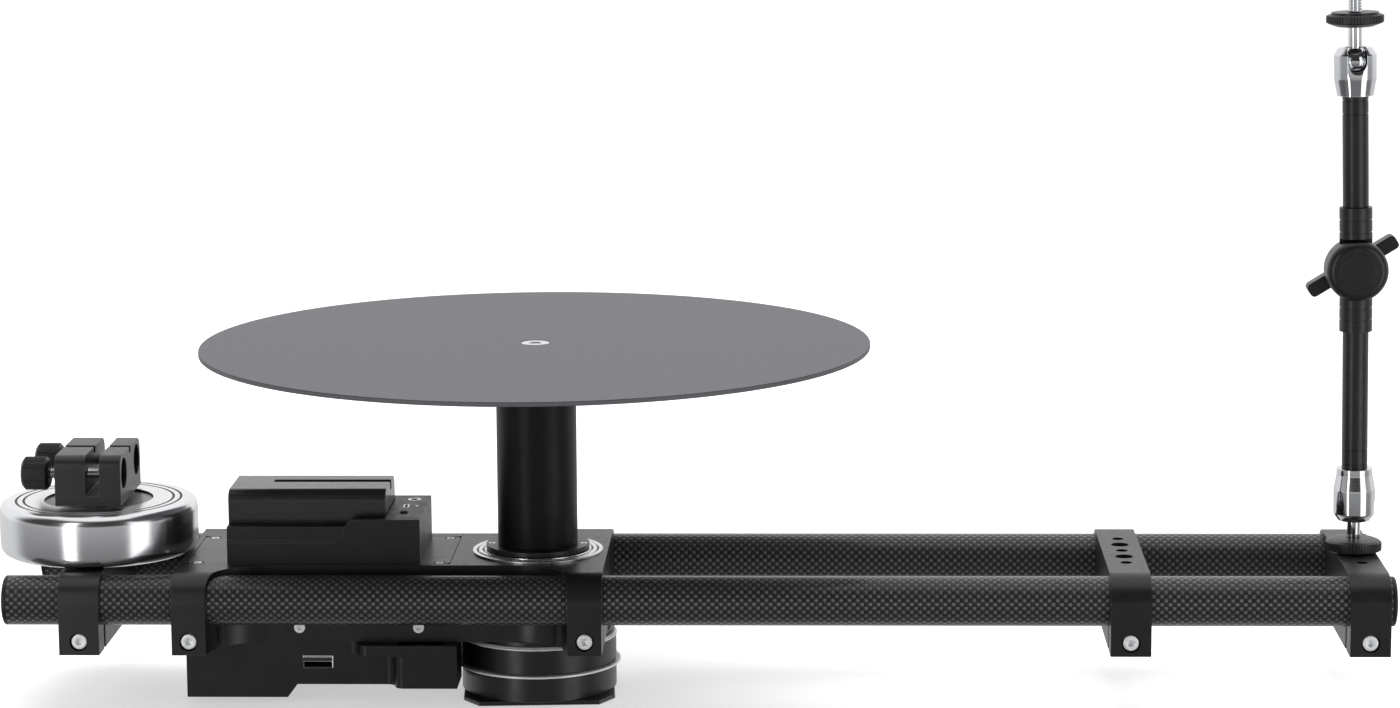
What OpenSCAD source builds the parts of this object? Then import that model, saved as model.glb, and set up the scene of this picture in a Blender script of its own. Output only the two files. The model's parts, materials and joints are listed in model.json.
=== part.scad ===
// Motorised camera slider set up as an orbit rig: a carriage with a pan drive carries
// two carbon rails round a fixed centre post and product table. One end of the rails
// carries a flywheel and a clamp block, the other a jointed arm with a camera screw.
// Origin: centre of the foot's underside, on the pan axis. +X along the rails, +Z up.

/* [Rails] */
// Outer diameter of each carbon rail
rail_d = 22; // [18:0.5:24]
// Wall of each carbon rail
rail_wall = 1.5; // [1:0.25:3]
// Length of each carbon rail without its end plugs
rail_len = 609; // [600:1:640]
// From the pan axis to the rails' left end
rail_left = 231.6; // [226:0.2:240]
// Distance between the two rail axes
rail_gap = 88; // [84:1:92]
// Height of the rail axes above the foot's underside
rail_z = 51; // [50:0.5:54]
// Length that each end plug shows
plug_len = 2; // [1:0.5:4]

/* [Brackets] */
// Width of a clamp bracket along the rails
slab_w = 17.8; // [16:0.2:20]
// From a rail axis to the bracket's top and to its outer face
shoulder = 13; // [13:0.25:15]
// From a rail axis down to the bracket's underside
drop = 22; // [20:0.5:24]
// Width of the clamping slit under each rail
slit_w = 3.4; // [2:0.2:5]
// Place of the flywheel bracket along the rails
wheel_x = -199; // [-204:1:-196]
// Place of the accessory bracket along the rails
accessory_x = 263.3; // [220:0.1:290]
// Place of the end bracket along the rails
end_x = 367.5; // [345:0.5:368]
// Pitch of the accessory bracket's holes
hole_pitch = 12.25; // [12:0.05:13]

/* [Carriage] */
// Left end of the carriage frame
frame_left = -158; // [-162:0.5:-156]
// Right end of the carriage frame
frame_right = 31.6; // [31:0.2:36]
// Width of each of the carriage's legs along the rails
leg_w = 15; // [14:0.5:18]
// Width of the carriage's waist between its legs
waist = 63; // [60:0.5:65]
// Height of the battery holder's low part above the deck
holder_low = 16.3; // [14:0.1:18]
// Height of the battery holder's high part above the deck
holder_high = 19.7; // [19:0.1:24]

/* [Pan unit and table] */
// Diameter of the pan drums
drum_d = 70; // [66:1:72]
// Diameter of the bright ring between the drums
ring_d = 74; // [72:0.5:76]
// Turn of the foot's outline about the pan axis
foot_turn = 3.7; // [-10:0.1:10]
// Diameter of the centre post
post_d = 36; // [32:1:38]
// Diameter of the product table
table_d = 300; // [200:5:300]
// Thickness of the product table
table_t = 2; // [1.5:0.5:4]
// Height of the table's top above the foot's underside
table_top = 159.2; // [150:0.2:175]

/* [Flywheel] */
// Diameter of the flywheel
wheel_d = 89; // [80:1:90]
// Height of the flywheel
wheel_h = 23.5; // [20:0.5:26]
// Width of the clamp block across its slot
block_w = 29.6; // [28:0.2:32]
// Depth of the clamp block along its slot
block_d = 50.8; // [48:0.2:52]
// Height of the clamp block
block_h = 22.4; // [20:0.2:26]
// Width of the clamp block's slot
slot_w = 6.4; // [5:0.2:8]
// From the block's middle to the slot's middle
slot_x = 2; // [0:0.2:3]

/* [Arm] */
// Lean of the arm's lower half at rest, towards the carriage
lower_lean = 0.8; // [0:0.1:10]
// Lean of the arm's upper half at rest, towards the carriage
upper_lean = 1.5; // [0:0.1:10]
// From the lower ball's centre up to the elbow axis
lower_len = 107; // [100:0.5:120]
// From the elbow axis up to the upper ball's centre
upper_len = 92.6; // [88:0.2:110]
// Angle of the elbow's wing nut at rest
wing_turn = 31.5; // [0:0.5:180]
// Diameter of the arm's tubes
arm_d = 11.4; // [10:0.2:12]

/* [Hidden] */
$fn = 64;
rail_r = rail_d / 2;
rail_y = rail_gap / 2;
run_fit = 0.05;
top_z = rail_z + shoulder;
bottom_z = rail_z - drop;
outer_y = rail_y + shoulder;
screw_z = rail_z - 16;
small_tap_r = 2.6;
large_tap_r = 3.97;
screw_head_r = 3.5;
screw_head_h = 3.6;

spindle_r = 8;
bearing_r = 14;
bearing_h = 7;
drum_r = drum_d / 2;
ring_r = ring_d / 2;
foot_h = 2;
lower_drum_top = 13;
ring_top = 14.3;
upper_drum_bottom = 14.6;
upper_drum_top = bottom_z - 3.4;
pulley_z = rail_z - 15;
pulley_h = 8;
belt_pitch = 3;
sun_teeth = 48;
motor_teeth = 12;
sun_r = sun_teeth * belt_pitch / (2 * PI) - 0.4;
motor_r = motor_teeth * belt_pitch / (2 * PI) - 0.4;
belt_t = 1.4;
motor_x = -96;

deck_x0 = -155;
deck_x1 = -37.5;
deck_y = 29;
deck_t = 1.5;
side_screw_x = [-104.6, -51.4];
side_screw_z = rail_z - 15.2;
holder_x0 = -137.1;
holder_x1 = -50.7;
holder_y = 27;
step_x = -78.6;
step_run = 6.2;
panel_x = -88.9;
panel_low = holder_low - 6;
battery_x0 = -137.3;
battery_x1 = -66.6;
battery_w = 38.4;
battery_h = 20.5;
seat_z = top_z + holder_low - 5.5;
battery_z = seat_z + 0.1;
box_left = -156;
box_step = -106.3;
box_right = -34;
box_y = 31;
box_low = bottom_z - 25.6;
box_mid = bottom_z - 19.6;
box_wall = 2;
wide_y = 39;
bend_r = (wide_y - box_y) / 2;
usb_x = -96.9;
usb_z = bottom_z - 9.3;
button_r = 1.7;
button_x = -59.3;
button_y = -11.3;
jack = [-57.5, 17.7];
port = [-59.7, 2.8];
lamp = [-54.9, 2.8];

wheel_r = wheel_d / 2;
wheel_z = top_z + 0.5;
wheel_top = wheel_z + wheel_h;
hub_r = 24;
block_z = wheel_top + 1.5;
station_y = 16;
station_z = block_z + 13.2;
socket_r = 7;
clamp_screw_r = 2.5;
knob_r = 7.5;
knob_x0 = wheel_x - 30.8;
knob_len = 12.4;

ball_z = rail_z + 33.6;
ball_r = 6.6;
notch_r = 4.2;
lock_h = 5.6;
lower_cup_h = 17.4;
upper_cup_h = 14.9;
stem_r = 3;
cup_r = 9.3;
stud_r = 3.175;
lock_r = 12.6;
elbow_r = 13.7;
elbow_half = 9;
elbow_cap = 3;
elbow_x = end_x - 0.6 - lower_len * sin(lower_lean);
elbow_z = ball_z + lower_len * cos(lower_lean);
upper_ball_x = elbow_x - upper_len * sin(upper_lean);
upper_ball_z = elbow_z + upper_len * cos(upper_lean);
arm_x = end_x - 0.6;

black = [0.10, 0.10, 0.11];
satin = [0.16, 0.16, 0.17];
steel = [0.75, 0.76, 0.78];
chrome = [0.88, 0.88, 0.90];
plastic = [0.13, 0.13, 0.14];

// Points of an arc, from one angle to another
function arc(x, y, r, from, to, n = 10) =
    [for (i = [0 : n]) let (a = from + (to - from) * i / n) [x + r * cos(a), y + r * sin(a)]];

// Outline of a rectangle with round corners, centred
function round_box(w, d, r) = concat(
    arc(w / 2 - r, d / 2 - r, r, 0, 90), arc(r - w / 2, d / 2 - r, r, 90, 180),
    arc(r - w / 2, r - d / 2, r, 180, 270), arc(w / 2 - r, r - d / 2, r, 270, 360));

// Extrudes an outline in Y and Z along +X from x0
module across(x0, w) {
    translate([x0, 0, rail_z]) rotate([90, 0, 90]) linear_extrude(w) children();
}

// Box between two corners
module block(low, high) {
    translate(low) cube(high - low);
}

module tube(r_out, r_in, z0, z1) {
    difference() {
        translate([0, 0, z0]) cylinder(r = r_out, h = z1 - z0);
        translate([0, 0, z0 - 1]) cylinder(r = r_in, h = z1 - z0 + 2);
    }
}

// Socket-head cap screw with its head's top at the origin, shank along -Z
module cap_screw(head_r, head_h, shank_r, length) {
    difference() {
        union() {
            translate([0, 0, -head_h]) cylinder(r = head_r, h = head_h);
            translate([0, 0, -head_h - length]) cylinder(r = shank_r, h = length + 0.5);
        }
        translate([0, 0, -head_h * 0.6]) cylinder(r = head_r * 0.5, h = head_h, $fn = 6);
    }
}

// Knurled disc: a cylinder with flutes round its rim
module fluted(r, h, flutes, depth) {
    linear_extrude(h) polygon([for (i = [0 : 2 * flutes - 1])
        let (a = 180 * i / flutes, q = r - (i % 2) * depth) [q * cos(a), q * sin(a)]]);
}

// ---- Clamp brackets ----

// End view of a bracket: a slab over both rails with round shoulders and two legs
module slab_outline() {
    polygon(concat(
        [[outer_y, -drop]], arc(rail_y, 0, shoulder, 0, 90, 14),
        arc(-rail_y, 0, shoulder, 90, 180, 14), [[-outer_y, -drop]]));
}

// Rail bores, slits and screw holes of a bracket centred at x
module slab_cuts(x, w) {
    for (side = [-1, 1]) {
        translate([x - w, side * rail_y, rail_z]) rotate([0, 90, 0])
            cylinder(r = rail_r + run_fit, h = 2 * w, $fn = 96);
        translate([x - w, side * (rail_y - 1) - slit_w / 2, bottom_z - 1])
            cube([2 * w, slit_w, drop - rail_r + 3]);
        leg_screw_place(x, side) {
            translate([0, 0, -screw_head_h - 0.5]) cylinder(r = screw_head_r + 0.7, h = 8);
            translate([0, 0, -24]) cylinder(r = 2.1, h = 26);
        }
    }
}

module leg_screw_place(x, side) {
    translate([x, side * outer_y, screw_z]) rotate([side > 0 ? -90 : 90, 0, 0]) children();
}

module leg_screws(x) {
    for (side = [-1, 1]) leg_screw_place(x, side)
        translate([0, 0, -0.5]) cap_screw(screw_head_r, screw_head_h, 2, 18);
}

module clamp_bracket(x) {
    difference() {
        across(x - slab_w / 2, slab_w) slab_outline();
        slab_cuts(x, slab_w);
    }
}

// ---- Base, post and table ----

module base_plate() {
    color(black) difference() {
        union() {
            rotate([0, 0, foot_turn]) linear_extrude(foot_h)
                polygon([[-34, -21], [-27, -32], [27, -32], [34, -21],
                         [34, 21], [27, 32], [-27, 32], [-34, 21]]);
            cylinder(r = 16, h = 9);
        }
        translate([0, 0, -1]) cylinder(r = large_tap_r, h = 9);
    }
}

module lower_drum() {
    color(black) {
        tube(drum_r, drum_r - 3, foot_h, lower_drum_top);
        tube(drum_r - 2.5, 16.1, foot_h, foot_h + 2);
    }
}

module lower_ring() {
    color(steel) rotate_extrude($fn = 96) polygon([
        [drum_r - 3, lower_drum_top], [drum_r, lower_drum_top], [ring_r, lower_drum_top + 0.3],
        [ring_r, ring_top - 0.3], [ring_r - 0.4, ring_top], [drum_r - 3, ring_top]]);
}

module spindle() {
    color(steel) {
        tube(14, 5, 9, 12);
        tube(spindle_r, 5, 12, top_z + 2);
    }
}

module belt_wheel(r, teeth, bore) {
    linear_extrude(pulley_h) difference() {
        circle(r = r, $fn = 96);
        circle(r = bore);
        for (i = [0 : teeth - 1])
            rotate(360 * i / teeth) translate([r, 0]) circle(r = 0.7, $fn = 13);
    }
}

module sun_pulley() {
    color(steel) translate([0, 0, pulley_z]) belt_wheel(sun_r, sun_teeth, spindle_r);
}

module post_flange() {
    color(black) difference() {
        translate([0, 0, top_z + 1.6]) cylinder(r = 23.3, h = 2);
        translate([0, 0, top_z]) cylinder(r = spindle_r, h = 2);
        for (side = [-1, 1]) translate([side * 20.8, 0, top_z]) {
            cylinder(r = 1.1, h = 4);
            translate([0, 0, 2.4]) cylinder(r = 1.9, h = 4);
        }
    }
}

module flange_screws() {
    color(steel) for (side = [-1, 1]) translate([side * 20.8, 0, top_z + 3.5])
        cap_screw(1.7, 1, 1, 0.8);
}

module table_post() {
    post_z = top_z + 3.6;
    color(black) difference() {
        translate([0, 0, post_z]) cylinder(r = post_d / 2, h = table_top - table_t - post_z);
        translate([0, 0, post_z - 1])
            cylinder(r = post_d / 2 - 2.5, h = table_top - table_t - post_z - 5);
        translate([0, 0, table_top - 12]) cylinder(r = 3, h = 12);
    }
}

module table_plate() {
    color(satin) difference() {
        translate([0, 0, table_top - table_t]) cylinder(r = table_d / 2, h = table_t, $fn = 180);
        translate([0, 0, table_top - 4]) cylinder(r = 3.2, h = 5);
        translate([0, 0, table_top - 1.6]) cylinder(r = 6.6, h = 2);
    }
}

module table_screw() {
    color(steel) translate([0, 0, table_top - 0.1]) cap_screw(6.4, 1.4, 2.9, 6);
}

// ---- Carriage ----

module upper_drum() {
    color(black) {
        tube(drum_r, drum_r - 3, upper_drum_bottom, upper_drum_top);
        tube(drum_r - 2, drum_r - 6, upper_drum_top, bottom_z);
        tube(drum_r - 2.5, spindle_r + 1, upper_drum_bottom, upper_drum_bottom + 1.5);
        tube(18, bearing_r + 0.02, upper_drum_bottom + 1.5, upper_drum_bottom + 1.5 + bearing_h);
    }
}

module upper_ring() {
    color(steel) rotate_extrude($fn = 96) polygon([
        [drum_r - 1.9, upper_drum_top + 0.1], [drum_r + 0.4, upper_drum_top + 0.1],
        [drum_r + 0.4, upper_drum_top + 0.5], [drum_r - 0.6, upper_drum_top + 1.5],
        [drum_r - 1.9, upper_drum_top + 1.5]]);
}

// A deep-groove bearing: two races and a ring of balls
module ball_bearing(r_in, r_out, h, balls) {
    mid = (r_in + r_out) / 2;
    tube(r_out, mid + 1.2, 0, h);
    tube(mid - 1.2, r_in, 0, h);
    for (i = [0 : balls - 1])
        rotate(360 * i / balls) translate([mid, 0, h / 2]) sphere(r = 1.15);
}

module spindle_bearings() {
    color(steel) {
        translate([0, 0, upper_drum_bottom + 1.5])
            ball_bearing(spindle_r + run_fit, bearing_r, bearing_h, 10);
        translate([0, 0, top_z - 2.5 - bearing_h])
            ball_bearing(spindle_r + run_fit, bearing_r, bearing_h, 10);
    }
}

// What the waist leaves open on one side, with round inner corners
module waist_cut() {
    r = outer_y - waist / 2;
    far = outer_y + 5;
    translate([0, 0, bottom_z - 5]) linear_extrude(shoulder + drop + 10) polygon(concat(
        [[frame_left + leg_w, -far]],
        arc(frame_left + leg_w + r, -outer_y, r, 180, 90),
        arc(frame_right - leg_w - r, -outer_y, r, 90, 0),
        [[frame_right - leg_w, -far]]));
}

module carriage_frame() {
    color(black) difference() {
        across(frame_left, frame_right - frame_left) slab_outline();
        waist_cut();
        mirror([0, 1, 0]) waist_cut();
        slab_cuts(frame_left + leg_w / 2, leg_w + 60);
        slab_cuts(frame_right - leg_w / 2, leg_w + 60);
        // Hollow for the belt, open underneath
        block([frame_left + leg_w, -27, bottom_z - 1], [-24, 27, top_z - 5]);
        block([-25, -27, bottom_z - 1], [0, 27, rail_z + 1]);
        translate([0, 0, bottom_z - 1]) cylinder(r = 27, h = drop + 2);
        // Bearing seat and the spindle's way through
        translate([0, 0, rail_z - 1]) cylinder(r = bearing_r + 0.02, h = top_z - 2.5 - rail_z + 1);
        translate([0, 0, rail_z - 1]) cylinder(r = bearing_r - 1, h = 30);
        // Seat of the cover plate, with a way through for the wiring
        block([deck_x0 - 0.3, -deck_y - 0.3, top_z - deck_t],
              [deck_x1 + 0.3, deck_y + 0.3, top_z + 1]);
        block([-120, -15, top_z - 6], [-70, 15, top_z]);
        cover_screw_holes(1.3, 8);
        for (side = [-1, 1]) for (x = side_screw_x)
            translate([x, side * (waist / 2 + 1), side_screw_z]) rotate([side * 90, 0, 0])
                cylinder(r = 1.3, h = 8);
    }
}

module carriage_screws() {
    color(steel) {
        leg_screws(frame_left + leg_w / 2);
        leg_screws(frame_right - leg_w / 2);
    }
}

module side_screws() {
    color(steel) for (side = [-1, 1]) for (x = side_screw_x)
        translate([x, side * (waist / 2 + 1.5), side_screw_z]) rotate([side * -90, 0, 0])
            cap_screw(2.4, 1.5, 1.2, 3.5);
}

// Holes on the four corners of the cover plate
module cover_screw_holes(r, depth) {
    for (x = [deck_x0 + 4.5, deck_x1 - 4.6]) for (y = [-25.6, 25.6])
        translate([x, y, top_z - depth]) cylinder(r = r, h = depth + 1);
}

module cover_plate() {
    color(satin) difference() {
        translate([(deck_x0 + deck_x1) / 2, 0, top_z - deck_t]) linear_extrude(deck_t)
            polygon(round_box(deck_x1 - deck_x0, 2 * deck_y, 4));
        cover_screw_holes(1.3, 3);
        cover_screw_holes(2.7, 0.9);
        block([-118, -13, top_z - 3], [-74, 13, top_z + 1]);
    }
}

module cover_screws() {
    color(steel) for (x = [deck_x0 + 4.5, deck_x1 - 4.6]) for (y = [-25.6, 25.6])
        translate([x, y, top_z]) cap_screw(2, 0.8, 1.2, 5);
}

// Bright dial round the post, turned with ring grooves
module dial_ring() {
    color(steel) translate([0, 0, top_z]) rotate_extrude($fn = 96) polygon([
        [spindle_r + 2, 0], [29.4, 0], [29.4, 0.8], [28.9, 1], [27.8, 1], [27.6, 0.6], [26.8, 0.6],
        [26.6, 1.1], [25.2, 1.1], [25, 0.6], [24.3, 0.6], [24.1, 1.2], [spindle_r + 2, 1.2]]);
}

// Plan of the box's wider part: from bend_x an S-bend leads out on each side
module wide_plan(bend_x, right, grow) {
    y = box_y + bend_r;
    wide = wide_y - grow;
    outer = bend_x + 2 * bend_r;
    polygon(concat(
        [[right, wide]], arc(outer, y, bend_r - grow, 90, 180, 6),
        arc(bend_x, y, bend_r + grow, 0, -90, 6), arc(bend_x, -y, bend_r + grow, 90, 0, 6),
        arc(outer, -y, bend_r - grow, 180, 270, 6), [[right, -wide]]));
}

module box_body(grow, open) {
    low = box_low + grow;
    mid = box_mid + grow;
    y = box_y - grow;
    up = bottom_z + open;
    right = box_right - 3 * grow;
    translate([0, y, 0]) rotate([90, 0, 0]) linear_extrude(2 * y) polygon([
        [box_left + grow, up], [box_left + grow, low], [box_step - 4.5, low], [box_step, mid],
        [right, mid], [right, up]]);
    // Wider part beside the pan drum
    translate([0, 0, mid]) linear_extrude(up - mid) wide_plan(-66, right, grow);
}

module control_box() {
    flange_t = 5;
    color(plastic) difference() {
        union() {
            box_body(0, 0);
            translate([0, 0, bottom_z - flange_t]) linear_extrude(flange_t)
                wide_plan(-82, box_right, 0);
        }
        box_body(box_wall, 1);
        // Room for the pan drum
        translate([0, 0, box_low - 1]) cylinder(r = ring_r + 0.6, h = 40);
        block([usb_x - 7, -box_y - 1, usb_z - 3], [usb_x + 7, -box_y + 3, usb_z + 3]);
    }
}

module usb_port() {
    color(steel) difference() {
        block([usb_x - 6.85, -box_y - 0.2, usb_z - 2.9], [usb_x + 6.85, -box_y + 13, usb_z + 2.9]);
        block([usb_x - 6.3, -box_y - 1, usb_z - 2.4], [usb_x + 6.3, -box_y + 9, usb_z + 0.2]);
        block([usb_x - 6.3, -box_y - 1, usb_z + 1.2], [usb_x + 6.3, -box_y + 9, usb_z + 2.4]);
    }
}

module circuit_board() {
    color([0.05, 0.25, 0.12]) {
        block([-150, -27, box_low + 5], [-116, 27, box_low + 6.6]);
        block([-145, -20, box_low + 6.6], [-133, -8, box_low + 9]);
        block([-128, 2, box_low + 6.6], [-120, 12, box_low + 8.5]);
    }
    color([0.4, 0.4, 0.42]) for (y = [-24, 24]) translate([-133, y, box_low + box_wall])
        cylinder(r = 2.5, h = 3);
}

module drive_motor() {
    color(steel) {
        translate([motor_x, 0, box_mid + box_wall]) cylinder(r = 14, h = 21);
        translate([motor_x, 0, box_mid + box_wall + 21]) cylinder(r = 5, h = 1.5);
    }
}

module motor_pulley() {
    color(steel) {
        translate([motor_x, 0, pulley_z]) belt_wheel(motor_r, motor_teeth, 1.5);
        translate([motor_x, 0, box_mid + box_wall + 22.8])
            cylinder(r = 1.5, h = pulley_z + pulley_h - box_mid - box_wall - 22);
    }
}

// Closed belt round the two pulleys, as a band of constant thickness
module belt_outline(extra) {
    r0 = sun_r + extra;
    r1 = motor_r + extra;
    lean = asin((r0 - r1) / -motor_x);
    polygon(concat(
        arc(0, 0, r0, -90 - lean, 90 + lean, 40), arc(motor_x, 0, r1, 90 + lean, 270 - lean, 16)));
}

module timing_belt() {
    color(black) translate([0, 0, pulley_z + 1]) linear_extrude(pulley_h - 2) difference() {
        belt_outline(0.35 + belt_t);
        belt_outline(0.35);
    }
}

// ---- Battery and its holder ----

// Side view of the holder: low rail part, sloped step, high socket part
module holder_outline() {
    polygon(concat(
        [[holder_x0, 0], [holder_x1, 0], [holder_x1, holder_high]],
        arc(step_x, holder_high - step_run, step_run, 90, 150, 8),
        [[step_x - step_run, holder_low], [holder_x0, holder_low]]));
}

// Side view of the raised panel on the holder's sides: a low band that curves up to the socket part
module panel_outline() {
    polygon(concat(
        [[holder_x0, 0], [holder_x1, 0], [holder_x1, holder_high]],
        arc(step_x, holder_high - step_run, step_run, 90, 150, 8),
        arc(panel_x, panel_low + 4, 4, -30, -90, 6), [[holder_x0, panel_low]]));
}

module battery_holder() {
    recess = 0.6;
    seat = battery_w / 2 + 0.4;
    color(plastic) difference() {
        union() {
            translate([0, holder_y - recess, top_z]) rotate([90, 0, 0])
                linear_extrude(2 * (holder_y - recess)) holder_outline();
            translate([0, holder_y, top_z]) rotate([90, 0, 0]) linear_extrude(2 * holder_y)
                panel_outline();
        }
        // The battery's seat in the socket part, and the room inside
        block([battery_x0 - 10, -seat, seat_z], [battery_x1 + 0.3, seat, top_z + 30]);
        block([holder_x0 + 2, -holder_y + 2, top_z - 1], [holder_x1 - 2, holder_y - 2, seat_z - 2.5]);
        // Fine line under the panel's upper edge
        for (side = [-1, 1])
            translate([(holder_x0 + panel_x) / 2 - 1, side * holder_y, top_z + panel_low - 1.2])
                cube([panel_x - holder_x0 + 2, 0.8, 0.4], center = true);
        translate([jack.x, jack.y, top_z]) cylinder(r = 3.1, h = 30);
        block([port.x - 1.5, port.y - 3.5, top_z], [port.x + 1.5, port.y + 3.5, top_z + 30]);
        translate([lamp.x, lamp.y, top_z]) cylinder(r = 0.9, h = 30);
        translate([button_x, button_y, top_z]) cylinder(r = button_r + 0.3, h = 30);
        block([battery_x1 - 1, -12, top_z + holder_low - 6],
              [battery_x1 + 2.6, 12, top_z + holder_low + 3]);
    }
}

module holder_ports() {
    z = top_z + holder_high;
    color(steel) difference() {
        translate([jack.x, jack.y, z - 9]) cylinder(r = 3, h = 9.1);
        translate([jack.x, jack.y, z - 8]) cylinder(r = 1.8, h = 10);
    }
    color(black) difference() {
        block([port.x - 1.3, port.y - 3.3, z - 7], [port.x + 1.3, port.y + 3.3, z + 0.1]);
        block([port.x - 0.6, port.y - 2.7, z - 6], [port.x + 0.6, port.y + 2.7, z + 1]);
    }
    color([0.9, 0.9, 0.85]) translate([lamp.x, lamp.y, z - 3]) cylinder(r = 0.8, h = 3.1);
}

module battery_contacts() {
    color([0.85, 0.7, 0.35]) for (y = [-10, 10])
        block([battery_x1 + 0.4, y - 1.5, top_z + holder_low - 5],
              [battery_x1 + 2.6, y + 1.5, top_z + holder_low + 2]);
}

module power_button() {
    z = top_z + holder_high;
    color(black) translate([button_x, button_y, z - 3]) cylinder(r = button_r, h = 3.6);
}

module battery() {
    w = battery_w / 2;
    top = battery_h;
    r = 5;
    groove = [0.5, 5.3];
    lid = battery_z + top + 1;
    color(satin) difference() {
        translate([battery_x0, 0, battery_z]) rotate([90, 0, 90])
            linear_extrude(battery_x1 - battery_x0) polygon(concat([[-w, 0], [w, 0]],
                arc(w - r, top - r, r, 0, 90), arc(r - w, top - r, r, 90, 180)));
        // Finger groove in the top, running down the right end
        block([battery_x0 + 18, groove[0], battery_z + top - 1.2], [battery_x1 + 1, groove[1], lid]);
        block([battery_x1 - 0.8, groove[0], battery_z + top - 4], [battery_x1 + 1, groove[1], lid]);
    }
}

// ---- Rails ----

module rail(side) {
    color([0.12, 0.12, 0.13]) translate([-rail_left, side * rail_y, rail_z]) rotate([0, 90, 0])
        difference() {
            cylinder(r = rail_r, h = rail_len, $fn = 96);
            translate([0, 0, -1]) cylinder(r = rail_r - rail_wall, h = rail_len + 2);
        }
}

module rail_front() {
    rail(-1);
}

module rail_rear() {
    rail(1);
}

module rail_plugs() {
    r_in = rail_r - rail_wall;
    color(black) for (side = [-1, 1]) for (end = [0, 1])
        translate([end * rail_len - rail_left, side * rail_y, rail_z]) rotate([0, end * 180 - 90, 0])
            rotate_extrude() polygon([[0, -8], [r_in, -8], [r_in, 0], [rail_r, 0],
                [rail_r, plug_len - 0.6], [rail_r - 0.6, plug_len], [0, plug_len]]);
}

// ---- Flywheel end ----

module wheel_bracket() {
    color(black) difference() {
        clamp_bracket(wheel_x);
        translate([wheel_x, 0, rail_z - 4]) cylinder(r = 4, h = 30);
        translate([wheel_x, 0, bottom_z - 1]) cylinder(r = 7, h = drop - 3);
    }
}

module wheel_bracket_screws() {
    color(steel) leg_screws(wheel_x);
}

// Shoulder bolt through the bracket and the flywheel into the clamp block
module wheel_axle() {
    color(steel) translate([wheel_x, 0, 0]) {
        translate([0, 0, rail_z - 9.5]) cap_screw_up();
        tube(5, 3.9, top_z, wheel_z + 0.95);
        tube(10, 3.9, wheel_top + 0.3, block_z);
    }
}

module cap_screw_up() {
    difference() {
        union() {
            cylinder(r = 6.5, h = 5.4);
            translate([0, 0, 5]) cylinder(r = 3.9, h = block_z + 3 - rail_z + 4.5);
        }
        translate([0, 0, -1]) cylinder(r = 3.4, h = 4, $fn = 6);
    }
}

module clamp_block() {
    w = block_w / 2;
    d = block_d / 2;
    r = 5.5;
    color(black) difference() {
        translate([wheel_x - w, 0, block_z]) rotate([90, 0, 90]) linear_extrude(block_w)
            polygon(concat([[-d, 0], [d, 0]],
                arc(d - r, block_h - r, r, 0, 90), arc(r - d, block_h - r, r, 90, 180)));
        translate([wheel_x, 0, block_z]) {
            block([slot_x - slot_w / 2, -d - 1, 4.6], [slot_x + slot_w / 2, d + 1, block_h + 1]);
            block([-w - 1, -1.8, block_h - 3.2], [w + 1, 1.8, block_h + 1]);
            translate([0, 0, -1]) cylinder(r = 3.9, h = 4.1);
        }
        for (side = [-1, 1]) translate([wheel_x, side * station_y, station_z]) rotate([0, 90, 0]) {
            translate([0, 0, slot_x + slot_w / 2 + 3.4]) cylinder(r = socket_r, h = w);
            translate([0, 0, -w - 1]) cylinder(r = clamp_screw_r + 0.1, h = 2 * w);
        }
    }
}

module flywheel() {
    groove = 0.5;
    color(chrome) translate([wheel_x, 0, wheel_z]) rotate_extrude($fn = 128) polygon(concat(
        [[10.05, 0], [hub_r, 0], [hub_r + 1, 1.6], [wheel_r - 9, 1.6], [wheel_r - 7.5, 0]],
        arc(wheel_r - 4.5, 4.5, 4.5, -90, 0, 8),
        arc(wheel_r - 4.5, wheel_h - 4.5, 4.5, 0, 90, 8),
        [[37.6, wheel_h], [37.3, wheel_h - groove], [36.7, wheel_h - groove], [36.4, wheel_h],
         [34.2, wheel_h], [33.9, wheel_h - groove], [33.3, wheel_h - groove], [33, wheel_h],
         [hub_r + 0.5, wheel_h], [hub_r, wheel_h - 1], [14, wheel_h - 1], [10.05, wheel_h - 1]]));
}

module flywheel_bearings() {
    color(steel) translate([wheel_x, 0, wheel_z]) {
        translate([0, 0, 1]) ball_bearing(3.95, 10, 7, 7);
        translate([0, 0, wheel_h - 9]) ball_bearing(3.95, 10, 7, 7);
    }
}

// Knurled thumb knob at one station of the clamp block
module clamp_knob(side) {
    translate([knob_x0, side * station_y, station_z]) rotate([0, 90, 0]) difference() {
        union() {
            translate([0, 0, 1.2]) fluted(knob_r, knob_len - 2.4, 40, 0.35);
            rotate_extrude() polygon([[0, 0], [knob_r - 1.6, 0], [knob_r - 0.5, 1.2], [0, 1.2]]);
            translate([0, 0, knob_len - 1.2])
                rotate_extrude() polygon([[0, 0], [knob_r - 0.5, 0], [knob_r - 1.6, 1.2], [0, 1.2]]);
        }
        translate([0, 0, 4]) cylinder(r = clamp_screw_r, h = knob_len);
    }
}

module clamp_screw(side) {
    translate([knob_x0 + 4, side * station_y, station_z]) rotate([0, 90, 0])
        cylinder(r = clamp_screw_r, h = wheel_x + slot_x + slot_w / 2 + 3.2 - knob_x0 - 4);
}

module clamp_knob_front() {
    color(black) clamp_knob(-1);
}

module clamp_screw_front() {
    color(steel) clamp_screw(-1);
}

module clamp_knob_rear() {
    color(black) clamp_knob(1);
}

module clamp_screw_rear() {
    color(steel) clamp_screw(1);
}

// ---- Accessory and end brackets ----

module accessory_bracket() {
    color(black) difference() {
        clamp_bracket(accessory_x);
        for (i = [-2 : 2]) translate([accessory_x, i * hole_pitch, top_z - 12])
            cylinder(r = i % 2 == 0 ? small_tap_r : large_tap_r, h = 13);
    }
}

module accessory_bracket_screws() {
    color(steel) leg_screws(accessory_x);
}

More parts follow.
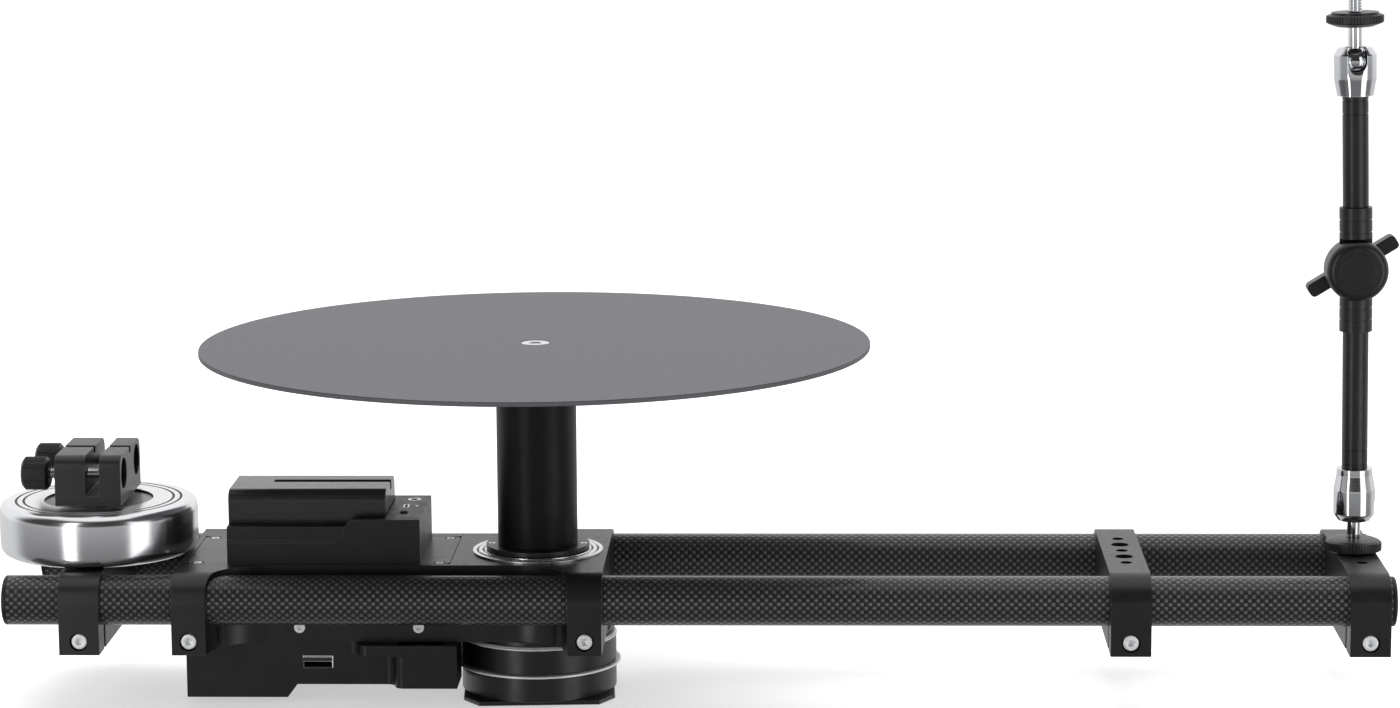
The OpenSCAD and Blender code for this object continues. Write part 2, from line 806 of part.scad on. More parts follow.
module end_bracket() {
    color(black) difference() {
        clamp_bracket(end_x);
        for (y = [-24.5, 24.5]) translate([end_x, y, top_z - 12]) cylinder(r = small_tap_r, h = 13);
        translate([arm_x, 0, top_z - 12]) cylinder(r = stud_r + run_fit, h = 13);
    }
}

module end_bracket_screws() {
    color(steel) leg_screws(end_x);
}

// ---- Jointed arm ----

// Ball on a stem that ends in a camera thread, ball centre at the origin, stem along -Z.
// A relief groove parts the stretch under the locking wheel from the free end.
module ball_stud(stem, wheel_part, free_end) {
    relief = 0.8;
    sphere(r = ball_r);
    translate([0, 0, -stem]) cylinder(r = stem_r, h = stem);
    translate([0, 0, -stem - wheel_part]) cylinder(r = stud_r, h = wheel_part);
    translate([0, 0, -stem - wheel_part - relief]) cylinder(r = 2.6, h = relief + 0.5);
    translate([0, 0, -stem - wheel_part - relief - free_end]) cylinder(r = stud_r, h = free_end);
}

// Knurled locking wheel on a stem, its flat side down
module lock_wheel(rim_h, cap_h) {
    difference() {
        union() {
            fluted(lock_r, rim_h, 60, 0.4);
            translate([0, 0, rim_h]) rotate_extrude()
                polygon([[0, 0], [lock_r - 0.6, 0], [lock_r - 2.2, cap_h * 0.6], [6, cap_h], [0, cap_h]]);
        }
        translate([0, 0, -1]) cylinder(r = stud_r + run_fit, h = rim_h + cap_h + 2);
    }
}

module lower_stud_place() {
    translate([arm_x, 0, ball_z]) children();
}

module lower_arm_place() {
    translate([arm_x, 0, ball_z]) rotate([0, -lower_lean, 0]) children();
}

module upper_arm_place() {
    translate([elbow_x, 0, elbow_z]) rotate([0, -upper_lean, 0]) children();
}

module upper_stud_place() {
    translate([upper_ball_x, 0, upper_ball_z]) rotate([0, -upper_lean, 0]) children();
}

module lower_ball_stud() {
    color(chrome) lower_stud_place() ball_stud(ball_z - top_z - lock_h - 0.2, lock_h, 9);
}

module lower_lock_wheel() {
    color(black) translate([arm_x, 0, top_z + 0.4]) lock_wheel(4.4, 1.2);
}

// Socket cup round the ball at the origin, open below, tapering up to height top_h
module ball_cup(top_h) {
    difference() {
        rotate_extrude($fn = 96) polygon([
            [0, -6.3], [7.2, -6.3], [cup_r, -3.2], [cup_r, 7.6], [8, 14.6], [8, top_h], [0, top_h]]);
        sphere(r = ball_r + 0.3);
        translate([0, 0, -8]) cylinder(r = 4.6, h = 8);
        translate([0, 0, top_h - 6]) cylinder(r = arm_d / 2 - 1.7, h = 8);
    }
}

module lower_cup() {
    color(chrome) lower_arm_place() difference() {
        ball_cup(lower_cup_h);
        // Notch that lets the stem swing out to the side
        block([0, -notch_r, -12], [14, notch_r, 0]);
        rotate([0, 90, 0]) cylinder(r = notch_r, h = 14);
    }
}

// Tube of one arm half with its fine ring grooves, between two heights
module arm_tube(z0, z1, grooves) {
    difference() {
        tube(arm_d / 2, arm_d / 2 - 1.6, z0, z1);
        for (z = grooves) tube(arm_d, arm_d / 2 - 0.35, z, z + 0.6);
    }
}

// Plug that joins a tube to its cup, with a pilot hole
module tube_plug(z0, z1) {
    tube(arm_d / 2 - 1.7, 0.8, z0, z1);
}

module lower_tube() {
    color(black) lower_arm_place() {
        arm_tube(lower_cup_h, lower_len - 27.4, [lower_cup_h + 2, lower_cup_h + 8.5]);
        tube_plug(lower_cup_h - 5, lower_cup_h + 6);
    }
}

// Turned collar with ring grooves, from z0 to z1
module collar(z0, z1) {
    r = 7.25;
    difference() {
        translate([0, 0, z0]) cylinder(r = r, h = z1 - z0);
        for (i = [1 : 2])
            translate([0, 0, z0 + (z1 - z0) * i / 3]) tube(r + 1, r - 0.5, -0.35, 0.35);
    }
}

// Half of the elbow: a domed disc on the -Y side of the joint plane, facing the viewer.
// A cap over the bolt's end closes its middle, or cap = 0 leaves the bolt's hole open.
module elbow_disc(cap) {
    bolt_hole_r = 2.6;
    middle = cap == 0 ? [[bolt_hole_r, elbow_half]]
        : [[0, elbow_half], [0, elbow_half - cap], [bolt_hole_r, elbow_half - cap]];
    rotate([90, 0, 0]) rotate_extrude($fn = 96) polygon(concat(
        [[bolt_hole_r, 0.1], [elbow_r, 0.1]], arc(elbow_r - 4.2, elbow_half - 4.2, 4.2, 0, 80, 8),
        [[8.4, elbow_half], [8.1, elbow_half - 0.3], [7.8, elbow_half]], middle));
}

module lower_elbow() {
    color(black) {
        translate([elbow_x, 0, elbow_z]) elbow_disc(elbow_cap);
        lower_arm_place() difference() {
            union() {
                collar(lower_len - 27.4, lower_len - 11.5);
                translate([0, 0, lower_len - 35]) cylinder(r = arm_d / 2 - 1.7, h = 10);
            }
            translate([-20, 0.05, lower_len - 14.3]) cube([40, 20, 20]);
            translate([0, 30, lower_len]) rotate([90, 0, 0]) cylinder(r = elbow_r - 1, h = 60);
        }
    }
}

module upper_elbow() {
    color(black) {
        translate([elbow_x, 0, elbow_z]) mirror([0, 1, 0]) elbow_disc(0);
        upper_arm_place() difference() {
            union() {
                collar(11.5, 28);
                translate([0, 0, 25]) cylinder(r = arm_d / 2 - 1.7, h = 8);
            }
            translate([-20, -20.05, -1]) cube([40, 20, 15.3]);
            rotate([90, 0, 0]) translate([0, 0, -30]) cylinder(r = elbow_r - 1, h = 60);
        }
    }
}

// Clamping bolt, held in the front disc and screwed into the wing nut behind the elbow
module elbow_bolt() {
    rear = elbow_half + 6.2;
    color(steel) translate([elbow_x, 0, elbow_z]) rotate([90, 0, 0])
        translate([0, 0, -rear]) cylinder(r = 2.5, h = rear + elbow_half - elbow_cap - 0.2);
}

// Wing nut behind the elbow: a round hub and a flat bar, turned to wing_turn
module elbow_wing() {
    color(black) translate([elbow_x, elbow_half + 0.4, elbow_z]) difference() {
        union() {
            rotate([-90, 0, 0]) cylinder(r = 8.5, h = 7.6);
            rotate([0, -wing_turn, 0]) translate([0, 0.1, 0]) rotate([-90, 0, 0])
                linear_extrude(7.4) polygon(round_box(45, 6.4, 2));
        }
        translate([0, -1, 0]) rotate([-90, 0, 0]) cylinder(r = 2.5 + run_fit, h = 7.4);
    }
}

module upper_tube() {
    color(black) upper_arm_place() {
        end = upper_len - upper_cup_h;
        arm_tube(28, end, [end - 8.5, end - 2.5]);
        tube_plug(end - 6, end + 5);
    }
}

module upper_cup() {
    color(chrome) upper_stud_place() mirror([0, 0, 1]) difference() {
        ball_cup(upper_cup_h);
        // Notch that lets the stud swing down towards the front
        block([-notch_r, -14, -12], [notch_r, 0, 0]);
        rotate([90, 0, 0]) cylinder(r = notch_r, h = 14);
    }
}

module upper_ball_stud() {
    color(chrome) upper_stud_place() mirror([0, 0, 1]) ball_stud(15.6, 6.4, 6);
}

module upper_lock_wheel() {
    color(black) upper_stud_place() translate([0, 0, 15.4]) {
        difference() {
            union() {
                rotate_extrude() polygon([[0, 0], [8, 0], [lock_r - 0.6, 1.5], [0, 1.5]]);
                translate([0, 0, 1.4]) fluted(lock_r, 4, 60, 0.4);
                translate([0, 0, 5]) cylinder(r = 10.4, h = 1.4);
            }
            translate([0, 0, -1]) cylinder(r = stud_r + run_fit, h = 9);
        }
    }
}

base_plate();
lower_drum();
lower_ring();
spindle();
sun_pulley();
post_flange();
flange_screws();
table_post();
table_plate();
table_screw();
upper_drum();
upper_ring();
spindle_bearings();
carriage_frame();
carriage_screws();
side_screws();
cover_plate();
cover_screws();
dial_ring();
control_box();
circuit_board();
usb_port();
battery_holder();
holder_ports();
battery_contacts();
drive_motor();
timing_belt();
motor_pulley();
power_button();
battery();
rail_front();
rail_rear();
rail_plugs();
wheel_bracket();
wheel_bracket_screws();
wheel_axle();
clamp_block();
flywheel();
flywheel_bearings();
clamp_knob_front();
clamp_screw_front();
clamp_knob_rear();
clamp_screw_rear();
accessory_bracket();
accessory_bracket_screws();
end_bracket();
end_bracket_screws();
lower_ball_stud();
lower_lock_wheel();
lower_cup();
lower_tube();
lower_elbow();
elbow_bolt();
elbow_wing();
upper_elbow();
upper_tube();
upper_cup();
upper_ball_stud();
upper_lock_wheel();
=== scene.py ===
import json
import math

import bmesh
import bpy
from mathutils import Matrix, Vector


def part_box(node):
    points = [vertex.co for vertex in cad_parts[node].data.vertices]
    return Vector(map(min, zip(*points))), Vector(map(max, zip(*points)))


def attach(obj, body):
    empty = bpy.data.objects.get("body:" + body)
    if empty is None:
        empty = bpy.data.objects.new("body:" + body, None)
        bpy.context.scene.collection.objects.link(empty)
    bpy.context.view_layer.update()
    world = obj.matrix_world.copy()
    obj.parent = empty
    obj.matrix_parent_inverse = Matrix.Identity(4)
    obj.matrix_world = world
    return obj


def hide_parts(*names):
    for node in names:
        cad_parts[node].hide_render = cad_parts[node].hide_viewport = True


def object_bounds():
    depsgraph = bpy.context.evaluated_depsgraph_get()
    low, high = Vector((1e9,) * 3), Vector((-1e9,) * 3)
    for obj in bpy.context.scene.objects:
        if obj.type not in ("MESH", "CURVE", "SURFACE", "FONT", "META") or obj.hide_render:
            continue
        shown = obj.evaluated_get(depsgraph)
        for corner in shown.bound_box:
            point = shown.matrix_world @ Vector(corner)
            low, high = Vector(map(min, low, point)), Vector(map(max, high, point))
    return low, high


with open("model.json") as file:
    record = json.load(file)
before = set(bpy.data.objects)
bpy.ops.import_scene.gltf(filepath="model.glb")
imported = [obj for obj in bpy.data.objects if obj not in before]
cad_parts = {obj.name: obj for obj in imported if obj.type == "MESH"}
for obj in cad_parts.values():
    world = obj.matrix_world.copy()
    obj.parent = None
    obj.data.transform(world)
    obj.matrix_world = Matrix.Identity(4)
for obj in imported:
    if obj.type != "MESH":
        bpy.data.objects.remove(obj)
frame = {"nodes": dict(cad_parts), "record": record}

cad_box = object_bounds()
scene = bpy.context.scene
MM = 0.001

# ---- Studio ----
# A pale seamless floor under an overhead softbox, with tall strip lights at both sides for the turned
# parts and a bright screen behind. The room in front is grey, with a dark band that outlines bright metal.


class Graph:
    """Adds nodes to a shader or geometry tree. An input is a value, or a socket to wire to it."""

    def __init__(self, tree):
        self.tree = tree

    def add(self, kind, inputs=None, **settings):
        node = self.tree.nodes.new(kind)
        for setting, value in settings.items():
            setattr(node, setting, value)
        for key, value in (inputs or {}).items():
            self.feed(node, key, value)
        return node

    def feed(self, node, key, value):
        if isinstance(value, bpy.types.NodeSocket):
            self.tree.links.new(value, node.inputs[key])
        else:
            node.inputs[key].default_value = value

    def math(self, operation, *values):
        return self.add("ShaderNodeMath", dict(enumerate(values)), operation=operation).outputs[0]

    def ramp(self, factor, *stops):
        """Colour ramp through stops of (place, brightness or colour)."""
        node = self.add("ShaderNodeValToRGB", {0: factor})
        while len(node.color_ramp.elements) < len(stops):
            node.color_ramp.elements.new(0.5)
        for element, (place, colour) in zip(node.color_ramp.elements, stops):
            element.position = place
            element.color = (*colour, 1) if isinstance(colour, tuple) else (colour, colour, colour, 1)
        return node.outputs[0]


scene.view_settings.view_transform = "Standard"
world = bpy.data.worlds.new("surround")
world.use_nodes = True
scene.world = world
sky = Graph(world.node_tree)
look = sky.add("ShaderNodeSeparateXYZ", {0: sky.add("ShaderNodeTexCoord").outputs["Generated"]})
height = sky.math("MULTIPLY_ADD", look.outputs["Z"], 0.5, 0.5)
room_side = sky.ramp(height, (0.0, 0.12), (0.35, 0.22), (0.42, 0.34), (0.475, 0.40), (0.50, 0.50),
                     (0.545, 0.45), (0.57, 0.04), (0.92, 0.05), (0.97, 1.0))
screen_side = sky.ramp(height, (0.0, 0.55), (0.45, 0.75), (0.52, 0.95), (1.0, 1.0))
towards_screen = sky.add("ShaderNodeMapRange", {0: look.outputs["Y"], 1: -0.1, 2: 0.35},
                         interpolation_type="SMOOTHSTEP").outputs[0]
surround = sky.add("ShaderNodeMix", {0: towards_screen, 6: room_side, 7: screen_side},
                   data_type="RGBA").outputs[2]
backdrop = world.node_tree.nodes["Background"]
sky.feed(backdrop, "Color", surround)


def softbox(name, place, target, width, depth, brightness):
    """A rectangular diffused light aimed at a point. Brightness is that of its face."""
    lamp = bpy.data.lights.new(name, "AREA")
    lamp.shape = "RECTANGLE"
    lamp.size = width
    lamp.size_y = depth
    lamp.energy = brightness * math.pi * width * depth
    holder = bpy.data.objects.new(name, lamp)
    aim = Vector(target) - Vector(place)
    holder.matrix_world = Matrix.Translation(place) @ aim.to_track_quat("-Z", "Y").to_matrix().to_4x4()
    scene.collection.objects.link(holder)
    return holder


overhead = softbox("overhead_softbox", (0.1, 0.35, 1.5), (0.08, 0, 0.05), 1.8, 1.1, 2.6)
overhead.visible_glossy = False
softbox("right_strip", (1.19, -0.88, 0.2), (0.1, 0, 0.1), 0.7, 1.8, 1.3)
softbox("left_strip", (-0.70, -1.15, 0.2), (0.1, 0, 0.1), 0.26, 1.8, 3.2)

floor_mesh = bpy.data.meshes.new("studio_floor")
reach = 30.0
floor_z = cad_box[0].z - 0.2 * MM
floor_mesh.from_pydata([(x, y, floor_z) for x, y in
                        ((-reach, -reach), (reach, -reach), (reach, reach), (-reach, reach))],
                       [], [(0, 1, 2, 3)])
floor = bpy.data.objects.new("studio_floor", floor_mesh)
floor_paint = bpy.data.materials.new("floor_paint")
floor_paint.use_nodes = True
floor_shader = floor_paint.node_tree.nodes["Principled BSDF"]
floor_shader.inputs["Base Color"].default_value = (0.93, 0.93, 0.93, 1)
floor_shader.inputs["Roughness"].default_value = 0.9
floor_shader.inputs["Emission Color"].default_value = (1, 1, 1, 1)
floor_shader.inputs["Emission Strength"].default_value = 0.5
floor_mesh.materials.append(floor_paint)
floor.visible_glossy = False
scene.collection.objects.link(floor)

camera_data = bpy.data.cameras.new("view")
camera_data.lens = 99.07
camera_data.sensor_width = 36.0
camera = bpy.data.objects.new("view", camera_data)
yaw, pitch, roll = (math.radians(angle) for angle in (-1.8196, 9.6077, -0.3566))
forward = Vector((math.sin(yaw) * math.cos(pitch), math.cos(yaw) * math.cos(pitch), -math.sin(pitch)))
level = Vector((math.cos(yaw), -math.sin(yaw), 0))
raised = level.cross(forward)
right = math.cos(roll) * level + math.sin(roll) * raised
up = math.cos(roll) * raised - math.sin(roll) * level
camera.matrix_world = (Matrix.Translation((0.12784, -1.70036, 0.44183))
                       @ Matrix((right, up, -forward)).transposed().to_4x4())
scene.collection.objects.link(camera)
scene.camera = camera

# ---- Foot and pan drums ----
# The rig stands on an eight-sided milled foot. Two aluminium drums turn over each other on the pan
# bearing, bead-blasted and anodised black, with a bright steel ring turned into the top of each.

body_of = {node: body for body, nodes in frame["record"]["behaviour"]["bodies"].items() for node in nodes}


def surface(name, colour, roughness, metallic=0.0, **sockets):
    """A new finish: its material, its graph and its shader."""
    material = bpy.data.materials.new(name)
    material.use_nodes = True
    shader = material.node_tree.nodes["Principled BSDF"]
    shader.inputs["Base Color"].default_value = (*colour, 1)
    shader.inputs["Roughness"].default_value = roughness
    shader.inputs["Metallic"].default_value = metallic
    for socket, value in sockets.items():
        shader.inputs[socket.replace("_", " ")].default_value = value
    return material, Graph(material.node_tree), shader


def noise(graph, size, stretch=(1, 1, 1), detail=2.0):
    """Noise with spots of this size, drawn out along an axis where stretch is under 1."""
    place = graph.add("ShaderNodeTexCoord").outputs["Object"]
    mapped = graph.add("ShaderNodeMapping", {"Vector": place, "Scale": stretch}).outputs[0]
    return graph.add("ShaderNodeTexNoise", {"Vector": mapped, "Scale": 1 / size, "Detail": detail}).outputs[0]


def grain(graph, shader, size, depth, stretch=(1, 1, 1)):
    """Raised grain over the whole surface."""
    raised = noise(graph, size, stretch)
    bump = graph.add("ShaderNodeBump", {"Height": raised, "Distance": depth})
    graph.feed(shader, "Normal", bump.outputs[0])


def vary(graph, shader, socket, size, low, high, stretch=(1, 1, 1)):
    """Lets a shader value wander between two limits over spots of this size."""
    spots = noise(graph, size, stretch)
    node = graph.add("ShaderNodeMapRange", {0: spots, 1: 0.3, 2: 0.7, 3: low, 4: high})
    graph.feed(shader, socket, node.outputs[0])


def tint(graph, shader, size, dark, light, stretch=(1, 1, 1)):
    """Lets the colour wander between two shades over spots of this size."""
    shades = graph.ramp(noise(graph, size, stretch), (0.3, dark), (0.7, light))
    graph.feed(shader, "Base Color", shades)


def anodised(name, dark, light, rough_low, rough_high, shine=0.6):
    """Bead-blasted aluminium, dyed and sealed."""
    material, graph, shader = surface(name, light, rough_high, Specular_IOR_Level=shine)
    tint(graph, shader, 9 * MM, dark, light)
    vary(graph, shader, "Roughness", 4 * MM, rough_low, rough_high)
    grain(graph, shader, 0.22 * MM, 0.010 * MM)
    return material


def fit(piece, *nodes):
    """Fixes a piece on the body of these nodes, and hides the nodes it takes the place of."""
    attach(piece, body_of[nodes[0]])
    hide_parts(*nodes)
    return piece


def plain(piece):
    """Turns a piece and its modifiers into one plain mesh."""
    bpy.context.view_layer.update()
    done = bpy.data.meshes.new_from_object(piece.evaluated_get(bpy.context.evaluated_depsgraph_get()))
    piece.modifiers.clear()
    piece.data = done
    return piece


def machined(node, material, edge_break, edge_material=None, steps=2):
    """A part in its own exact shape, its faces welded and its sharp edges broken."""
    shape = bmesh.new()
    shape.from_mesh(frame["nodes"][node].data)
    bmesh.ops.remove_doubles(shape, verts=shape.verts, dist=0.004 * MM)
    bmesh.ops.dissolve_limit(shape, angle_limit=math.radians(0.4), verts=shape.verts, edges=shape.edges)
    for face in shape.faces:
        face.smooth = True
        face.material_index = 0
    mesh = bpy.data.meshes.new(node + "_part")
    shape.to_mesh(mesh)
    shape.free()
    mesh.materials.append(material)
    mesh.materials.append(edge_material or material)
    part = bpy.data.objects.new(node + "_part", mesh)
    scene.collection.objects.link(part)
    bevel = part.modifiers.new("edge_break", "BEVEL")
    bevel.width = edge_break
    bevel.segments = steps
    bevel.limit_method = "ANGLE"
    bevel.angle_limit = math.radians(32)
    # The bevel faces take the second finish; on black parts and the battery holder that is a lighter colour,
    # a painted edge highlight.
    bevel.material = 1
    bevel.use_clamp_overlap = True
    evened = part.modifiers.new("evened", "WEIGHTED_NORMAL")
    evened.keep_sharp = True
    return fit(plain(part), node)


black = anodised("black_anodised", (0.0055, 0.0056, 0.0062), (0.0085, 0.0087, 0.0096), 0.32, 0.38)
# Painted highlight: a lighter anodised colour on the broken edges of black parts stands in for the light
# their chamfers catch.
anodised_edge_highlight = anodised("black_anodised_painted_edge_highlight", (0.03, 0.031, 0.033), (0.05, 0.051, 0.054), 0.28, 0.34)

machined("base_plate", black, 0.4 * MM, anodised_edge_highlight)
machined("lower_drum", black, 0.3 * MM, anodised_edge_highlight)
machined("upper_drum", black, 0.3 * MM, anodised_edge_highlight)

bright, bright_graph, bright_shader = surface("turned_steel", (0.80, 0.81, 0.83), 0.2, 1.0)
vary(bright_graph, bright_shader, "Roughness", 2.5 * MM, 0.16, 0.27)
grain(bright_graph, bright_shader, 0.3 * MM, 0.004 * MM)
ring_steel, ring_graph, ring_shader = surface("ring_steel", (0.90, 0.91, 0.92), 0.38, 0.45)
vary(ring_graph, ring_shader, "Roughness", 2.5 * MM, 0.33, 0.43)
grain(ring_graph, ring_shader, 0.3 * MM, 0.006 * MM)
machined("lower_ring", ring_steel, 0.15 * MM)
machined("upper_ring", ring_steel, 0.1 * MM)

# ---- Spindle, pulleys and belt ----
# A hollow steel spindle stands on the foot and carries the fixed toothed pulley. The carriage's motor
# walks round it on a closed rubber belt, and two deep-groove bearings centre the carriage.


def dress(node, material):
    """Gives a part that stays as it is its real finish."""
    for place in frame["nodes"][node].material_slots:
        place.link = "OBJECT"
        place.material = material


def laid(name, tree, host, material, values):
    """Runs a geometry tree on a host mesh with these named sizes, and leaves one plain mesh."""
    piece = bpy.data.objects.new(name, host)
    scene.collection.objects.link(piece)
    builder = piece.modifiers.new("builder", "NODES")
    builder.node_group = tree
    given = dict(values, Finish=material)
    for socket in tree.interface.items_tree:
        if socket.in_out == "INPUT" and socket.name in given:
            builder[socket.identifier] = given[socket.name]
    return plain(piece)


def geometry_tree(name, **sizes):
    """A tree that takes a host mesh, named sizes and a finish: its graph, its inputs and its output."""
    tree = bpy.data.node_groups.new(name, "GeometryNodeTree")
    tree.interface.new_socket("Host", in_out="INPUT", socket_type="NodeSocketGeometry")
    for label, value in sizes.items():
        kind = {int: "NodeSocketInt", float: "NodeSocketFloat", str: "NodeSocketObject"}[type(value)]
        socket = tree.interface.new_socket(label.replace("_", " "), in_out="INPUT", socket_type=kind)
        if kind != "NodeSocketObject":
            socket.default_value = value
    tree.interface.new_socket("Finish", in_out="INPUT", socket_type="NodeSocketMaterial")
    tree.interface.new_socket("Made", in_out="OUTPUT", socket_type="NodeSocketGeometry")
    graph = Graph(tree)
    return graph, graph.add("NodeGroupInput").outputs, graph.add("NodeGroupOutput")


def finish_tree(graph, outlet, geometry, given):
    """Ends a tree: real geometry in one finish."""
    real = graph.add("GeometryNodeRealizeInstances", {"Geometry": geometry}).outputs[0]
    painted = graph.add("GeometryNodeSetMaterial", {"Geometry": real, "Material": given["Finish"]}).outputs[0]
    graph.feed(outlet, 0, painted)
    return graph.tree


dress("spindle", bright)
dress("spindle_bearings", bright)
milled, milled_graph, milled_shader = surface("milled_aluminium", (0.60, 0.61, 0.63), 0.32, 1.0)
vary(milled_graph, milled_shader, "Roughness", 3 * MM, 0.26, 0.38)
grain(milled_graph, milled_shader, 0.4 * MM, 0.006 * MM, (0.1, 1, 1))
machined("sun_pulley", milled, 0.12 * MM)
machined("motor_pulley", milled, 0.1 * MM)
machined("drive_motor", milled, 0.4 * MM)

rubber, rubber_graph, rubber_shader = surface("belt_rubber", (0.02, 0.02, 0.02), 0.75)
vary(rubber_graph, rubber_shader, "Roughness", 2 * MM, 0.68, 0.82)
grain(rubber_graph, rubber_shader, 0.35 * MM, 0.03 * MM)
machined("timing_belt", rubber, 0.15 * MM)

# ---- Post and table ----
# A black turned tube stands on a thin round flange with two small screws, and carries the round steel
# table. The table is powder coated with a fine matt grain, its rim worn bright, one screw through it.


def turned(name, profile, material, sides=96, centre=(0, 0, 0), six_sided=()):
    """Turns a profile of (radius, height, corner rounding) round an upright axis into one closed mesh."""
    rings = []
    for number, (radius, height, rounding) in enumerate(profile):
        before = Vector(profile[number - 1][:2]) if number else None
        after = Vector(profile[number + 1][:2]) if number + 1 < len(profile) else None
        corner = Vector((radius, height))
        if not rounding or before is None or after is None:
            rings.append((corner, number in six_sided))
            continue
        start = corner + (before - corner).normalized() * rounding
        end = corner + (after - corner).normalized() * rounding
        for step in range(5):
            t = step / 4
            rings.append((start.lerp(corner, t).lerp(corner.lerp(end, t), t), number in six_sided))
    shape = bmesh.new()
    loops = []
    for corner, hexagon in rings:
        if corner.x < 1e-7:
            loops.append([shape.verts.new((centre[0], centre[1], centre[2] + corner.y))])
            continue
        loop = []
        for side in range(sides):
            angle = 2 * math.pi * side / sides
            flat = angle % (math.pi / 3) - math.pi / 6
            reach_out = corner.x / math.cos(flat) if hexagon else corner.x
            loop.append(shape.verts.new((centre[0] + reach_out * math.cos(angle),
                                         centre[1] + reach_out * math.sin(angle), centre[2] + corner.y)))
        loops.append(loop)
    closed = len(loops[0]) > 1 and len(loops[-1]) > 1
    for lower, upper in zip(loops, loops[1:] + (loops[:1] if closed else [])):
        for side in range(sides):
            following = (side + 1) % sides
            if len(lower) == 1:
                shape.faces.new((lower[0], upper[following], upper[side]))
            elif len(upper) == 1:
                shape.faces.new((lower[side], lower[following], upper[0]))
            else:
                shape.faces.new((lower[side], lower[following], upper[following], upper[side]))
    bmesh.ops.recalc_face_normals(shape, faces=shape.faces)
    for face in shape.faces:
        face.smooth = True
    mesh = bpy.data.meshes.new(name)
    shape.to_mesh(mesh)
    shape.free()
    mesh.set_sharp_from_angle(angle=math.radians(38))
    mesh.materials.append(material)
    return mesh


def stand(name, mesh):
    """Puts a mesh in the scene as a piece."""
    piece = bpy.data.objects.new(name, mesh)
    scene.collection.objects.link(piece)
    return piece


def middle(node):
    """Centre of a node's box."""
    low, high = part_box(node)
    return (low + high) / 2


machined("post_flange", black, 0.2 * MM, anodised_edge_highlight)
post_black = anodised("post_anodised", (0.004, 0.0041, 0.0046), (0.006, 0.0062, 0.0068), 0.40, 0.44, 0.25)
post_low, post_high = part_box("table_post")
post_radius = (post_high.x - post_low.x) / 2
post_bore = post_radius - 2.5 * MM
post_length = post_high.z - post_low.z
cap_under = post_length - 6 * MM
screw_way = 3 * MM
post_mesh = turned("post_tube", [
    (post_bore, 0, 0.2 * MM), (post_radius, 0, 0.3 * MM), (post_radius, post_length, 0.3 * MM),
    (screw_way, post_length, 0), (screw_way, cap_under, 0), (post_bore, cap_under, 0)],
    post_black, 128, (0, 0, post_low.z))
fit(stand("post_tube", post_mesh), "table_post")

coat, coat_graph, coat_shader = surface("table_coat", (0.1, 0.1, 0.11), 0.5)
tint(coat_graph, coat_shader, 0.5 * MM, (0.068, 0.069, 0.079), (0.108, 0.11, 0.124))
vary(coat_graph, coat_shader, "Roughness", 1.5 * MM, 0.46, 0.52)
grain(coat_graph, coat_shader, 0.45 * MM, 0.05 * MM)
rim, rim_graph, rim_shader = surface("worn_rim", (0.02, 0.02, 0.021), 0.4, 0.2)
vary(rim_graph, rim_shader, "Roughness", 3 * MM, 0.34, 0.48)
grain(rim_graph, rim_shader, 0.5 * MM, 0.02 * MM)
machined("table_plate", coat, 0.25 * MM, rim)

# ---- Carriage frame and deck ----
# The carriage is milled from one aluminium block: two legs clamp the rails, a waist between them
# carries the drive. M4 socket screws close the clamps from counterbores in the legs.


def cap_screw_mesh(name, head_radius, head_height, shank_radius, shank_length, socket, material):
    """Socket-head screw with its head's top at the origin and its shank downwards."""
    return turned(name, [
        (0, -head_height * 0.62, 0), (socket * 0.4, -head_height * 0.55, 0),
        (socket, -head_height * 0.5, 0), (socket, -0.1 * MM, 0), (socket * 1.16, 0, 0),
        (head_radius, 0, head_height * 0.2), (head_radius, -head_height, 0.05 * MM),
        (shank_radius, -head_height, 0), (shank_radius, -head_height - shank_length, 0.3 * MM),
        (0, -head_height - shank_length, 0)], material, 36, six_sided=(2, 3))


def screws_tree():
    """A screw at each point of the host, its axis along the point's own normal."""
    graph, given, outlet = geometry_tree("screws", Screw="object")
    pattern = graph.add("GeometryNodeObjectInfo", {"Object": given["Screw"]}).outputs["Geometry"]
    aim = graph.add("GeometryNodeInputNamedAttribute", {"Name": "aim"}, data_type="FLOAT_VECTOR").outputs[0]
    turn = graph.add("FunctionNodeAlignRotationToVector", {"Vector": aim}, axis="Z").outputs[0]
    placed = graph.add("GeometryNodeInstanceOnPoints",
                       {"Points": given["Host"], "Instance": pattern, "Rotation": turn}).outputs[0]
    return finish_tree(graph, outlet, placed, given)


screw_layer = screws_tree()


def sharpened(piece):
    """Smooth shading with the real edges kept crisp."""
    for face in piece.data.polygons:
        face.use_smooth = True
    piece.data.set_sharp_from_angle(angle=math.radians(38))
    return piece


def screws(node, pattern, places, material):
    """Screws of one kind at places of (head centre, direction that the head faces)."""
    host = bpy.data.meshes.new(node + "_places")
    host.from_pydata([place for place, _ in places], [], [])
    aims = host.attributes.new("aim", "FLOAT_VECTOR", "POINT")
    for item, (_, aim) in zip(aims.data, places):
        item.vector = aim
    template = stand("pattern", pattern)
    piece = laid(node + "_set", screw_layer, host, material, {"Screw": template})
    bpy.data.objects.remove(template)
    return fit(sharpened(piece), node)


machined("carriage_frame", black, 0.35 * MM, anodised_edge_highlight)
m4_screw = cap_screw_mesh("m4_screw", 3.5 * MM, 3.6 * MM, 2.0 * MM, 18 * MM, 1.5 * MM, ring_steel)


def leg_screws(node, centres):
    """The pair of clamp screws in each bracket leg, at these places along the rails."""
    low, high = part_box(node)
    z = (low.z + high.z) / 2
    places = []
    for x in centres:
        places += [((x, low.y, z), (0, -1, 0)), ((x, high.y, z), (0, 1, 0))]
    screws(node, m4_screw, places, ring_steel)


screw_low, screw_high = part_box("carriage_screws")
leg_screws("carriage_screws", (screw_low.x + 3.5 * MM, screw_high.x - 3.5 * MM))
machined("side_screws", ring_steel, 0.25 * MM)

